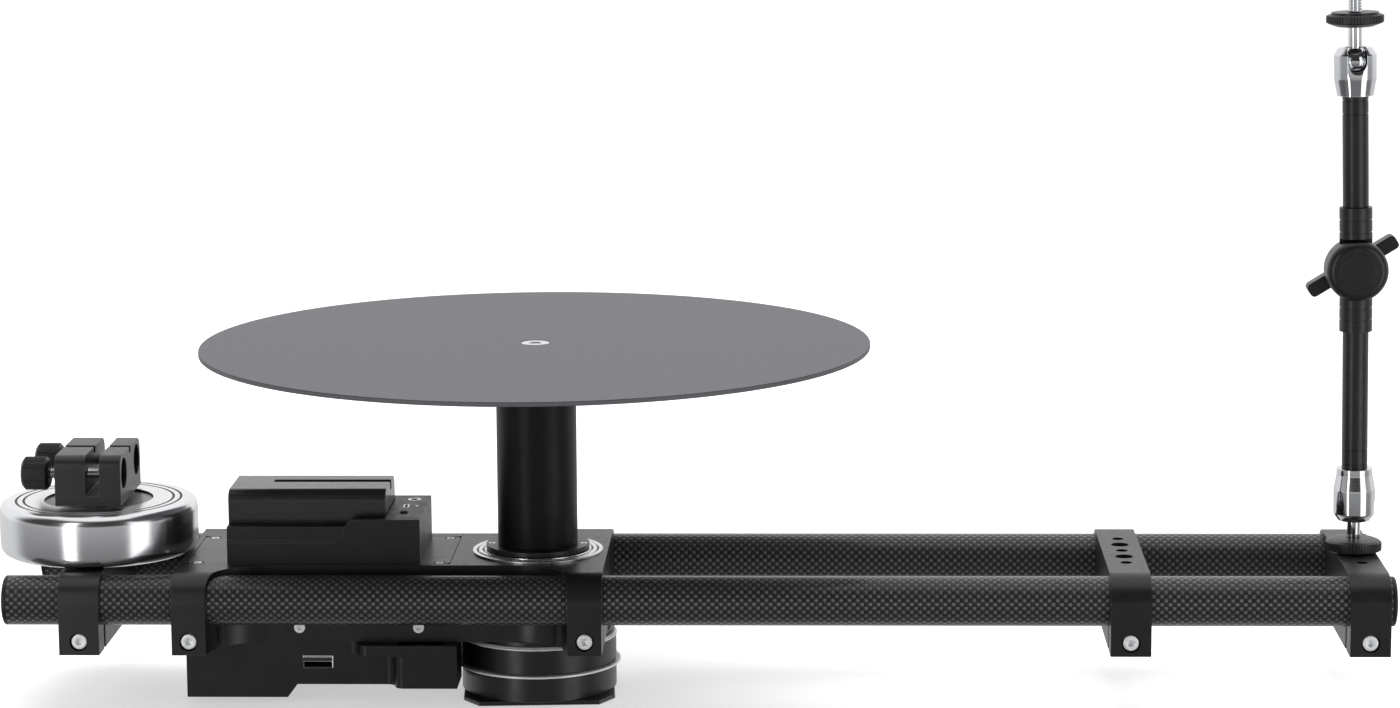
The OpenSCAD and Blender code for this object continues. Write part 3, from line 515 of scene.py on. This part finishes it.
deck, deck_graph, deck_shader = surface("satin_deck", (0.05, 0.05, 0.052), 0.36, Specular_IOR_Level=0.9)
tint(deck_graph, deck_shader, 0.5 * MM, (0.042, 0.0425, 0.046), (0.062, 0.063, 0.067), (0.02, 1, 1))
vary(deck_graph, deck_shader, "Roughness", 0.6 * MM, 0.33, 0.43, (0.02, 1, 1))
grain(deck_graph, deck_shader, 0.3 * MM, 0.006 * MM, (0.02, 1, 1))
machined("cover_plate", deck, 0.2 * MM, anodised_edge_highlight)
machined("cover_screws", ring_steel, 0.2 * MM)
machined("flange_screws", bright, 0.12 * MM)
machined("table_screw", bright, 0.25 * MM)

# ---- Dial ----
# A turned steel ring lies round the post: its raised lands are bright and the grooves between them
# are filled with black.

dial, dial_graph, dial_shader = surface("dial_face", (0.78, 0.79, 0.81), 0.24, 1.0)
vary(dial_graph, dial_shader, "Roughness", 1.5 * MM, 0.2, 0.3)
grain(dial_graph, dial_shader, 0.25 * MM, 0.004 * MM)
# Dark colour for the dial's black-filled grooves; it also serves as painted shade inside the sockets and in
# the flywheel's turned grooves.
dark_fill_and_painted_shade, groove_graph, groove_shader = surface("dark_fill_and_painted_shade", (0.015, 0.015, 0.016), 0.45)
vary(groove_graph, groove_shader, "Roughness", 1.5 * MM, 0.4, 0.5)
grain(groove_graph, groove_shader, 0.3 * MM, 0.01 * MM)
dial_part = machined("dial_ring", dial, 0.08 * MM)
dial_part.data.materials.append(dark_fill_and_painted_shade)
dial_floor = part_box("dial_ring")[1].z - 0.45 * MM
for face in dial_part.data.polygons:
    if face.center.z < dial_floor and abs(face.normal.z) > 0.9:
        face.material_index = 2

# ---- Control box ----
# The drive's electronics sit in a moulded black box under the carriage, rounded at its corners, with
# a steel socket in the front wall. Motor and circuit board are screwed inside.

plastic, plastic_graph, plastic_shader = surface("moulded_plastic", (0.007, 0.007, 0.0075), 0.42)
tint(plastic_graph, plastic_shader, 7 * MM, (0.006, 0.0061, 0.0066), (0.009, 0.0092, 0.010))
vary(plastic_graph, plastic_shader, "Roughness", 5 * MM, 0.36, 0.46)
grain(plastic_graph, plastic_shader, 0.35 * MM, 0.03 * MM)
machined("control_box", plastic, 0.9 * MM, plastic, 3)
socket_part = machined("usb_port", bright, 0.12 * MM)
# Painted reflection: a near-white colour for the front of the socket's tongue.
tongue, tongue_graph, tongue_shader = surface("socket_tongue_painted_reflection", (0.92, 0.92, 0.90), 0.35)
vary(tongue_graph, tongue_shader, "Roughness", 1 * MM, 0.34, 0.46)
socket_part.data.materials.append(dark_fill_and_painted_shade)
socket_part.data.materials.append(tongue)
socket_low, socket_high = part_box("usb_port")
socket_middle = (socket_low + socket_high) / 2
# The tongue is thickened upwards. Its front is coloured near white as a painted reflection, and the rest of
# the socket's mouth and inside is coloured dark as painted shade.
for vertex in socket_part.data.vertices:
    if 1.0 * MM < vertex.co.z - socket_middle.z < 1.4 * MM:
        vertex.co.z += 0.8 * MM
for face in socket_part.data.polygons:
    lift = face.center.z - socket_middle.z
    if abs(face.center.x - socket_middle.x) < 6.35 * MM and abs(lift) < 2.45 * MM:
        front = face.center.y < socket_low.y + 0.2 * MM
        face.material_index = 3 if front and 0.15 * MM < lift < 2.05 * MM else 2
board, board_graph, board_shader = surface("solder_mask", (0.02, 0.12, 0.05), 0.3, 0.0, Coat_Weight=0.4)
tint(board_graph, board_shader, 1.2 * MM, (0.015, 0.10, 0.04), (0.05, 0.20, 0.09), (0.2, 1, 1))
grain(board_graph, board_shader, 0.8 * MM, 0.02 * MM, (0.2, 1, 1))
dress("circuit_board", board)
gold, gold_graph, gold_shader = surface("contact_gold", (0.83, 0.62, 0.28), 0.25, 1.0)
vary(gold_graph, gold_shader, "Roughness", 1 * MM, 0.2, 0.32)
dress("battery_contacts", gold)

# ---- Battery and its holder ----
# A camcorder battery slides onto a moulded holder, which is screwed to the deck. The holder's high end
# carries the charging sockets, a lamp and the rubber power button.

# Painted highlight: a lighter plastic colour on the holder's broken edges stands in for the light they catch.
plastic_edge_highlight, edge_highlight_graph, edge_highlight_shader = surface("plastic_painted_edge_highlight", (0.11, 0.11, 0.113), 0.36)
vary(edge_highlight_graph, edge_highlight_shader, "Roughness", 3 * MM, 0.3, 0.42)
machined("battery_holder", plastic, 0.35 * MM, plastic_edge_highlight)
ports = machined("holder_ports", bright, 0.08 * MM)
ports.data.materials.append(dark_fill_and_painted_shade)
ports_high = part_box("holder_ports")[1].z
# Painted shade: the socket faces below the top rim take the dark colour.
for face in ports.data.polygons:
    if face.center.z < ports_high - 0.35 * MM:
        face.material_index = 2
shell, shell_graph, shell_shader = surface("battery_shell", (0.012, 0.012, 0.0126), 0.24,
                                           Specular_IOR_Level=0.8)
tint(shell_graph, shell_shader, 6 * MM, (0.010, 0.010, 0.0106), (0.015, 0.015, 0.016))
vary(shell_graph, shell_shader, "Roughness", 5 * MM, 0.20, 0.26)
grain(shell_graph, shell_shader, 0.25 * MM, 0.006 * MM)
machined("battery", shell, 0.45 * MM, shell)
soft, soft_graph, soft_shader = surface("button_rubber", (0.016, 0.016, 0.016), 0.7)
vary(soft_graph, soft_shader, "Roughness", 1 * MM, 0.62, 0.78)
grain(soft_graph, soft_shader, 0.2 * MM, 0.02 * MM)
machined("power_button", soft, 0.35 * MM)

# ---- Rails ----
# Two tubes rolled from plain-weave carbon cloth in clear resin, ground and lacquered, with a moulded
# plug pressed into each end.

tows_round = 38


def woven_tube(node):
    """A rail with its own cloth coordinates: along the tube and round it, counted in tows."""
    low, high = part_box(node)
    centre = (low + high) / 2
    outer = (high.z - low.z) / 2
    inner = outer - 1.5 * MM
    sides = 96
    tow = 2 * math.pi * outer / tows_round
    shape = bmesh.new()
    cloth = shape.loops.layers.uv.new("cloth")
    lengths = [low.x + (high.x - low.x) * step / 12 for step in range(13)]
    rings = [(x, outer) for x in lengths] + [(x, inner) for x in reversed(lengths)]
    loops = [[shape.verts.new((x, centre.y + radius * math.cos(2 * math.pi * side / sides),
                               centre.z + radius * math.sin(2 * math.pi * side / sides)))
              for side in range(sides)] for x, radius in rings]
    for number, (x, _) in enumerate(rings):
        following = (number + 1) % len(rings)
        for side in range(sides):
            face = shape.faces.new((loops[number][side], loops[number][(side + 1) % sides],
                                    loops[following][(side + 1) % sides], loops[following][side]))
            face.smooth = True
            for corner, (along, round_) in zip(face.loops, ((x, side), (x, side + 1),
                                                            (rings[following][0], side + 1),
                                                            (rings[following][0], side))):
                corner[cloth].uv = ((along - low.x) / tow, round_ * tows_round / sides)
    bmesh.ops.recalc_face_normals(shape, faces=shape.faces)
    mesh = bpy.data.meshes.new(node + "_tube")
    shape.to_mesh(mesh)
    shape.free()
    mesh.set_sharp_from_angle(angle=math.radians(38))
    mesh.materials.append(carbon)
    return fit(stand(node + "_tube", mesh), node)


carbon, cloth_graph, cloth_shader = surface("carbon_weave", (0.02, 0.02, 0.022), 0.38, 0.0,
                                            Coat_Weight=0.55, Coat_Roughness=0.16)
cloth_place = cloth_graph.add("ShaderNodeSeparateXYZ", {0: cloth_graph.add(
    "ShaderNodeUVMap", uv_map="cloth").outputs[0]})
along, across = cloth_place.outputs[0], cloth_place.outputs[1]
turns = cloth_graph.math("ADD", cloth_graph.math("FLOOR", along), cloth_graph.math("FLOOR", across))
over = cloth_graph.math("MODULO", turns, 2.0)
crowns = []
for place in (along, across):
    inside = cloth_graph.math("SUBTRACT", cloth_graph.math("FRACT", place), 0.5)
    crowns.append(cloth_graph.math("COSINE", cloth_graph.math("MULTIPLY", inside, math.pi)))
crown = cloth_graph.math("POWER", cloth_graph.math("MULTIPLY", *crowns), 0.6)
strands = []
for place in (across, along):
    waves = cloth_graph.math("SINE", cloth_graph.math("MULTIPLY", place, 2 * math.pi * 9))
    strands.append(waves)
strand = cloth_graph.add("ShaderNodeMix", {0: over, 2: strands[0], 3: strands[1]}).outputs[0]
relief = cloth_graph.math("MULTIPLY_ADD", strand, 0.06, crown)
cloth_graph.feed(cloth_shader, "Normal", cloth_graph.add(
    "ShaderNodeBump", {"Height": relief, "Distance": 0.3 * MM, "Strength": 1.0}).outputs[0])
# Base colour: the tows lying over are lighter and their crowns lighter still, a painted sheen standing in for
# the light each tow catches by its direction.
shade = cloth_graph.math("MULTIPLY_ADD", over, 0.5, cloth_graph.math("MULTIPLY", crown, 0.35))
cloth_graph.feed(cloth_shader, "Base Color", cloth_graph.ramp(
    shade, (0.0, (0.003, 0.003, 0.0034)), (0.45, (0.010, 0.0103, 0.011)), (0.85, (0.17, 0.174, 0.18))))
cloth_graph.feed(cloth_shader, "Metallic", cloth_graph.math("MULTIPLY_ADD", over, 0.45, 0.2))
cloth_graph.feed(cloth_shader, "Roughness", cloth_graph.math("MULTIPLY_ADD", over, -0.08, 0.40))

woven_tube("rail_front")
woven_tube("rail_rear")
machined("rail_plugs", plastic, 0.3 * MM)

# ---- Flywheel end ----
# A heavy steel flywheel, turned and polished, spins on a shoulder bolt over its bracket and damps the
# pan. The clamp block bolted above it grips a plate in its slot with two knurled thumb knobs.

machined("wheel_bracket", black, 0.35 * MM, anodised_edge_highlight)
leg_screws("wheel_bracket_screws", (middle("wheel_bracket_screws").x,))
machined("wheel_axle", bright, 0.3 * MM)

wheel_low, wheel_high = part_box("flywheel")
wheel_centre = (wheel_low + wheel_high) / 2
wheel_radius = (wheel_high.x - wheel_low.x) / 2
wheel_height = wheel_high.z - wheel_low.z


def lathe_lines(graph, shader, centre, pitch, depth, upright):
    """Fine turning marks round an upright axis: rings on a flat face, hoops on a side."""
    place = graph.add("ShaderNodeVectorMath",
                      {0: graph.add("ShaderNodeTexCoord").outputs["Object"], 1: centre},
                      operation="SUBTRACT").outputs[0]
    parts = graph.add("ShaderNodeSeparateXYZ", {0: place}).outputs
    flat = graph.add("ShaderNodeCombineXYZ", {0: parts[0], 1: parts[1]}).outputs[0]
    radius = graph.add("ShaderNodeVectorMath", {0: flat}, operation="LENGTH").outputs["Value"]
    marks = graph.add("ShaderNodeTexNoise", {"W": parts[2] if upright else radius,
                                             "Scale": 1 / pitch, "Detail": 2.0},
                      noise_dimensions="1D").outputs[0]
    bump = graph.add("ShaderNodeBump", {"Height": marks, "Distance": depth})
    graph.feed(shader, "Normal", bump.outputs[0])
    return marks


polish, polish_graph, polish_shader = surface("polished_side", (0.82, 0.83, 0.85), 0.1, 1.0)
hoops = lathe_lines(polish_graph, polish_shader, wheel_centre, 0.5 * MM, 0.0012 * MM, True)
polish_graph.feed(polish_shader, "Roughness", polish_graph.add(
    "ShaderNodeMapRange", {0: hoops, 1: 0.3, 2: 0.7, 3: 0.16, 4: 0.24}).outputs[0])
faced, faced_graph, faced_shader = surface("faced_top", (0.88, 0.885, 0.90), 0.26, 1.0)
rings = lathe_lines(faced_graph, faced_shader, wheel_centre, 0.35 * MM, 0.003 * MM, False)
faced_graph.feed(faced_shader, "Roughness", faced_graph.add(
    "ShaderNodeMapRange", {0: rings, 1: 0.3, 2: 0.7, 3: 0.2, 4: 0.34}).outputs[0])
groove = 0.5 * MM
hub = 24 * MM
bearing_seat = 10.05 * MM


def turned_groove(radius):
    """Points of a fine groove turned into the flywheel's top."""
    return [(radius + 0.6 * MM, wheel_height, 0.1 * MM), (radius + 0.3 * MM, wheel_height - groove, 0),
            (radius - 0.3 * MM, wheel_height - groove, 0), (radius - 0.6 * MM, wheel_height, 0.1 * MM)]


wheel_mesh = turned("flywheel_turned", [
    (bearing_seat, 0, 0), (hub, 0, 0), (hub + 1 * MM, 1.6 * MM, 0),
    (wheel_radius - 9 * MM, 1.6 * MM, 0.3 * MM), (wheel_radius - 7.5 * MM, 0, 0.3 * MM),
    (wheel_radius, 0, 5 * MM), (wheel_radius, wheel_height, 5 * MM),
    *turned_groove(37 * MM), *turned_groove(33.6 * MM),
    (hub + 0.5 * MM, wheel_height, 0.1 * MM), (hub, wheel_height - 1 * MM, 0.1 * MM),
    (bearing_seat, wheel_height - 1 * MM, 0)], polish, 160, (wheel_centre.x, wheel_centre.y, wheel_low.z))
wheel_mesh.materials.append(faced)
wheel_mesh.materials.append(dark_fill_and_painted_shade)
# Painted shade: a darker steel for the hub, where the clamp block shades the flywheel's top.
recess, recess_graph, recess_shader = surface("hub_recess_painted_shade", (0.27, 0.275, 0.285), 0.34, 1.0)
lathe_lines(recess_graph, recess_shader, wheel_centre, 0.4 * MM, 0.003 * MM, False)
wheel_mesh.materials.append(recess)
# Upward faces take the faced finish; the hub takes the darker steel and the fine turned grooves the dark
# colour, both painted shade.
for face in wheel_mesh.polygons:
    out = math.hypot(face.center.x - wheel_centre.x, face.center.y)
    if face.normal.z > 0.96:
        face.material_index = 1
    if out < hub:
        face.material_index = 3
    elif wheel_high.z - 1.2 * MM < face.center.z < wheel_high.z - 0.2 * MM and out < 37.7 * MM:
        face.material_index = 2
fit(stand("flywheel_turned", wheel_mesh), "flywheel")
dress("flywheel_bearings", bright)
machined("clamp_block", black, 0.4 * MM, anodised_edge_highlight)


def knurl_tree():
    """Straight rounded ridges round an upright drum, added to the host."""
    graph, given, outlet = geometry_tree("knurl", Ridges=48, Radius=0.007, Ridge=0.0003, Height=0.01,
                                         Middle=0.005)
    ring = graph.add("GeometryNodeMeshCircle", {"Vertices": given["Ridges"],
                                                "Radius": given["Radius"]}).outputs[0]
    ridge = graph.add("GeometryNodeMeshCylinder", {"Vertices": 8, "Radius": given["Ridge"],
                                                   "Depth": given["Height"]}).outputs["Mesh"]
    ridges = graph.add("GeometryNodeInstanceOnPoints", {"Points": ring, "Instance": ridge}).outputs[0]
    lift = graph.add("ShaderNodeCombineXYZ", {2: given["Middle"]}).outputs[0]
    raised_ridges = graph.add("GeometryNodeTransform", {"Geometry": ridges, "Translation": lift}).outputs[0]
    both = graph.add("GeometryNodeJoinGeometry", {0: raised_ridges})
    graph.feed(both, 0, given["Host"])
    return finish_tree(graph, outlet, both.outputs[0], given)


def thread_tree():
    """A helical ridge round an upright core, added to the host."""
    graph, given, outlet = geometry_tree("thread", Turns=5.0, Radius=0.003, Depth=0.0006, Length=0.006)
    helix = graph.add("GeometryNodeCurveSpiral", {
        "Resolution": 28, "Rotations": given["Turns"], "Start Radius": given["Radius"],
        "End Radius": given["Radius"], "Height": given["Length"]}).outputs[0]
    level_helix = graph.add("GeometryNodeSetCurveNormal", {"Curve": helix}, mode="Z_UP").outputs[0]
    wire = graph.add("GeometryNodeCurvePrimitiveCircle",
                     {"Resolution": 4, "Radius": given["Depth"]}).outputs[0]
    ridge = graph.add("GeometryNodeCurveToMesh", {"Curve": level_helix, "Profile Curve": wire,
                                                  "Fill Caps": True}).outputs[0]
    start = graph.add("ShaderNodeCombineXYZ", {2: given["Depth"]}).outputs[0]
    raised_ridge = graph.add("GeometryNodeTransform", {"Geometry": ridge, "Translation": start}).outputs[0]
    both = graph.add("GeometryNodeJoinGeometry", {0: raised_ridge})
    graph.feed(both, 0, given["Host"])
    return finish_tree(graph, outlet, both.outputs[0], given)


knurling = knurl_tree()
threading = thread_tree()


def clamp_knob(side):
    """Thumb knob and its threaded screw, on the clamp block's left face."""
    knob = "clamp_knob_" + side
    low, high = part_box(knob)
    centre = (low + high) / 2
    radius = (high.z - low.z) / 2
    length = high.x - low.x
    lying = Matrix.Translation((low.x, centre.y, centre.z)) @ Matrix.Rotation(math.radians(90), 4, "Y")
    drum = radius - 0.3 * MM
    core = turned(knob + "_core", [
        (0, 0.35 * MM, 0), (radius * 0.62, 0.35 * MM, 0.1 * MM), (radius * 0.66, 0, 0.1 * MM),
        (radius - 1.8 * MM, 0, 0.5 * MM), (drum, 1.3 * MM, 0.5 * MM),
        (drum, length - 1.3 * MM, 0.5 * MM), (radius - 1.8 * MM, length, 0.5 * MM),
        (0, length, 0)], black, 96)
    piece = laid(knob + "_knurled", knurling, core, black, {
        "Ridges": 56, "Radius": drum, "Ridge": 0.28 * MM, "Height": length - 3 * MM, "Middle": length / 2})
    piece.data.transform(lying)
    fit(sharpened(piece), knob)

    screw = "clamp_screw_" + side
    low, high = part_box(screw)
    radius = (high.z - low.z) / 2
    length = high.x - low.x
    pitch = 0.8 * MM
    depth = 0.5 * MM
    core = turned(screw + "_core", [
        (0, 0, 0), (radius - depth, 0, 0), (radius - depth, length, 0.4 * MM), (0, length, 0)], bright, 48)
    piece = laid(screw + "_threaded", threading, core, bright, {
        "Turns": (length - 2 * MM) / pitch, "Radius": radius - depth, "Depth": depth - 0.01 * MM,
        "Length": length - 2 * MM})
    lift = min(vertex.co.z for vertex in piece.data.vertices)
    lying = Matrix.Translation((low.x, centre.y, centre.z)) @ Matrix.Rotation(math.radians(90), 4, "Y")
    piece.data.transform(lying @ Matrix.Translation((0, 0, -lift)))
    fit(sharpened(piece), screw)


clamp_knob("front")
clamp_knob("rear")

# ---- Accessory and end brackets ----
# Two milled clamps close the rails' right half. The first has a row of camera threads in its top, the
# second holds the jointed arm.

machined("accessory_bracket", black, 0.35 * MM, anodised_edge_highlight)
leg_screws("accessory_bracket_screws", (middle("accessory_bracket_screws").x,))
machined("end_bracket", black, 0.35 * MM, anodised_edge_highlight)
leg_screws("end_bracket_screws", (middle("end_bracket_screws").x,))

# ---- Jointed arm ----
# A friction arm: chromed ball studs in chromed cups, black anodised tubes with turned collars, and an
# elbow of two domed discs clamped by a wing nut. Knurled wheels lock the studs.

chrome, chrome_graph, chrome_shader = surface("chrome_plate", (0.72, 0.73, 0.75), 0.07, 1.0)
vary(chrome_graph, chrome_shader, "Roughness", 6 * MM, 0.05, 0.1)
grain(chrome_graph, chrome_shader, 0.6 * MM, 0.0008 * MM)
joints = {joint["name"]: joint for joint in frame["record"]["behaviour"]["joints"]}
lower_ball = Vector(joints["arm_tilt"]["pos_m"])
elbow_place = Vector(joints["elbow"]["pos_m"])
upper_ball = Vector(joints["camera_tilt"]["pos_m"])


def leaning(start, end):
    """Place and turn that stand an upright shape at start and lean it towards end."""
    aim = (end - start).normalized()
    return Matrix.Translation(start) @ Vector((0, 0, 1)).rotation_difference(aim).to_matrix().to_4x4()


lower_half = leaning(lower_ball, elbow_place)
upper_half = leaning(elbow_place, upper_ball)
upper_turn = upper_half.to_3x3().to_4x4()
upper_end = Matrix.Translation(upper_ball) @ upper_turn @ Matrix.Rotation(math.pi, 4, "X")


def ball_profile(radius, stem):
    """Points of a ball from its pole down to where a stem meets it."""
    last = math.pi - math.asin(stem / radius)
    return [(radius * math.sin(last * step / 24), radius * math.cos(last * step / 24), 0)
            for step in range(25)]


def socket_cup(node, length, notch_side, place):
    """Chromed cup round a ball at its origin, open below, with a notch on one side for the stem."""
    wall = 9.3 * MM
    neck = 8 * MM
    mouth = 4.6 * MM
    lip = -6.3 * MM
    inside = [(x, z, 0) for x, z, _ in ball_profile(6.9 * MM, mouth)]
    mesh = turned(node + "_turned", inside + [
        (mouth, lip, 0.1 * MM), (7.2 * MM, lip, 0.3 * MM), (wall, -3.2 * MM, 0.5 * MM),
        (wall, 7.6 * MM, 0.6 * MM), (neck, 14.6 * MM, 0.4 * MM), (neck, length, 0.3 * MM),
        (0, length, 0)], chrome, 128)
    notch = 4.2 * MM
    outline = [(notch * math.cos(math.pi * step / 16), notch * math.sin(math.pi * step / 16))
               for step in range(17)] + [(-notch, -12 * MM), (notch, -12 * MM)]
    count = len(outline)
    cutter_mesh = bpy.data.meshes.new("cutter")
    cutter_mesh.from_pydata(
        [(x, y, z) for x in (0, 14 * MM) for y, z in outline], [],
        [tuple(reversed(range(count))), tuple(range(count, 2 * count))]
        + [(step, (step + 1) % count, count + (step + 1) % count, count + step) for step in range(count)])
    cutter_mesh.transform(Matrix.Rotation(notch_side, 4, "Z"))
    cutter = stand("cutter", cutter_mesh)
    cup = stand(node + "_turned", mesh)
    cut = cup.modifiers.new("notch", "BOOLEAN")
    cut.operation = "DIFFERENCE"
    cut.solver = "EXACT"
    cut.object = cutter
    plain(cup)
    bpy.data.objects.remove(cutter)
    edges = cup.modifiers.new("edge_break", "BEVEL")
    edges.width = 0.15 * MM
    edges.segments = 2
    edges.limit_method = "ANGLE"
    edges.angle_limit = math.radians(40)
    sharpened(plain(cup))
    cup.data.transform(place)
    return fit(cup, node)


def ball_stud(node, stem_end, end, place):
    """Chromed ball on its stem, with a camera thread rolled on the rest."""
    core_radius = 2.6 * MM
    pitch = 1.27 * MM
    core = turned(node + "_core", ball_profile(6.58 * MM, 3 * MM) + [
        (3 * MM, -stem_end, 0.2 * MM), (core_radius, -stem_end, 0), (core_radius, -end, 0.5 * MM),
        (0, -end, 0)], chrome, 64)
    for vertex in core.vertices:
        vertex.co.z += end
    piece = laid(node + "_threaded", threading, core, chrome, {
        "Turns": (end - stem_end - 1.2 * MM) / pitch, "Radius": core_radius, "Depth": 0.55 * MM,
        "Length": end - stem_end - 1.2 * MM})
    lift = Matrix.Translation((0, 0, -end))
    piece.data.transform(place @ lift)
    return fit(sharpened(piece), node)


def knurled_wheel(node, profile, ridge_low, ridge_high, place):
    """Locking wheel: a turned black disc with a ribbed rim."""
    rim_radius = 12.25 * MM
    core = turned(node + "_core", profile, black, 96)
    piece = laid(node + "_knurled", knurling, core, black, {
        "Ridges": 60, "Radius": rim_radius, "Ridge": 0.35 * MM, "Height": ridge_high - ridge_low,
        "Middle": (ridge_high + ridge_low) / 2})
    piece.data.transform(place)
    return fit(sharpened(piece), node)


def arm_tube(node, low, high, grooves, place):
    """Black arm tube with fine rings turned into it."""
    radius = 5.7 * MM
    outside = [(radius, low, 0.2 * MM)]
    for groove_z in grooves:
        outside += [(radius, groove_z, 0), (radius - 0.35 * MM, groove_z + 0.1 * MM, 0),
                    (radius - 0.35 * MM, groove_z + 0.5 * MM, 0), (radius, groove_z + 0.6 * MM, 0)]
    mesh = turned(node + "_turned", [(0.8 * MM, low, 0)] + outside + [
        (radius, high, 0.2 * MM), (0.8 * MM, high, 0)], black, 96)
    mesh.transform(place)
    return fit(stand(node + "_turned", mesh), node)


lower_length = (elbow_place - lower_ball).length
upper_length = (upper_ball - elbow_place).length
lower_cup_top = 17.4 * MM
upper_cup_top = 14.9 * MM
socket_cup("lower_cup", lower_cup_top, 0, lower_half)
socket_cup("upper_cup", upper_cup_top, math.pi / 2, upper_end)
ball_stud("lower_ball_stud", 14.8 * MM, 30.2 * MM, Matrix.Translation(lower_ball))
ball_stud("upper_ball_stud", 15.6 * MM, 28.8 * MM, upper_end)
hole = 3.23 * MM
lower_wheel_place = Matrix.Translation((lower_ball.x, 0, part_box("lower_lock_wheel")[0].z))
upper_wheel_seat = 15.4 * MM
knurled_wheel("lower_lock_wheel", [
    (hole, 0, 0), (11.6 * MM, 0, 0.3 * MM),
    (12.25 * MM, 0.6 * MM, 0.2 * MM), (12.25 * MM, 3.8 * MM, 0.2 * MM),
    (12 * MM, 4.4 * MM, 0.2 * MM), (10.4 * MM, 5.1 * MM, 0.3 * MM), (6 * MM, 5.6 * MM, 0.3 * MM),
    (hole, 5.6 * MM, 0)], 0.5 * MM, 3.9 * MM, lower_wheel_place)
knurled_wheel("upper_lock_wheel", [
    (hole, 0, 0), (8 * MM, 0, 0.3 * MM), (12 * MM, 1.5 * MM, 0.3 * MM), (12.25 * MM, 2 * MM, 0.2 * MM),
    (12.25 * MM, 4.8 * MM, 0.2 * MM), (11.6 * MM, 5.4 * MM, 0.2 * MM), (10.4 * MM, 5.4 * MM, 0),
    (10.4 * MM, 6.4 * MM, 0.3 * MM), (hole, 6.4 * MM, 0)], 1.9 * MM, 4.9 * MM,
    Matrix.Translation(upper_ball) @ upper_turn @ Matrix.Translation((0, 0, upper_wheel_seat)))
arm_tube("lower_tube", lower_cup_top, lower_length - 27.4 * MM,
         [lower_cup_top + 2 * MM, lower_cup_top + 8.5 * MM], lower_half)
arm_tube("upper_tube", 28 * MM, upper_length - upper_cup_top,
         [upper_length - upper_cup_top - 8.5 * MM, upper_length - upper_cup_top - 2.5 * MM], upper_half)
for node in ("lower_elbow", "upper_elbow", "elbow_wing"):
    machined(node, black, 0.3 * MM, anodised_edge_highlight)
machined("elbow_bolt", bright, 0.2 * MM)
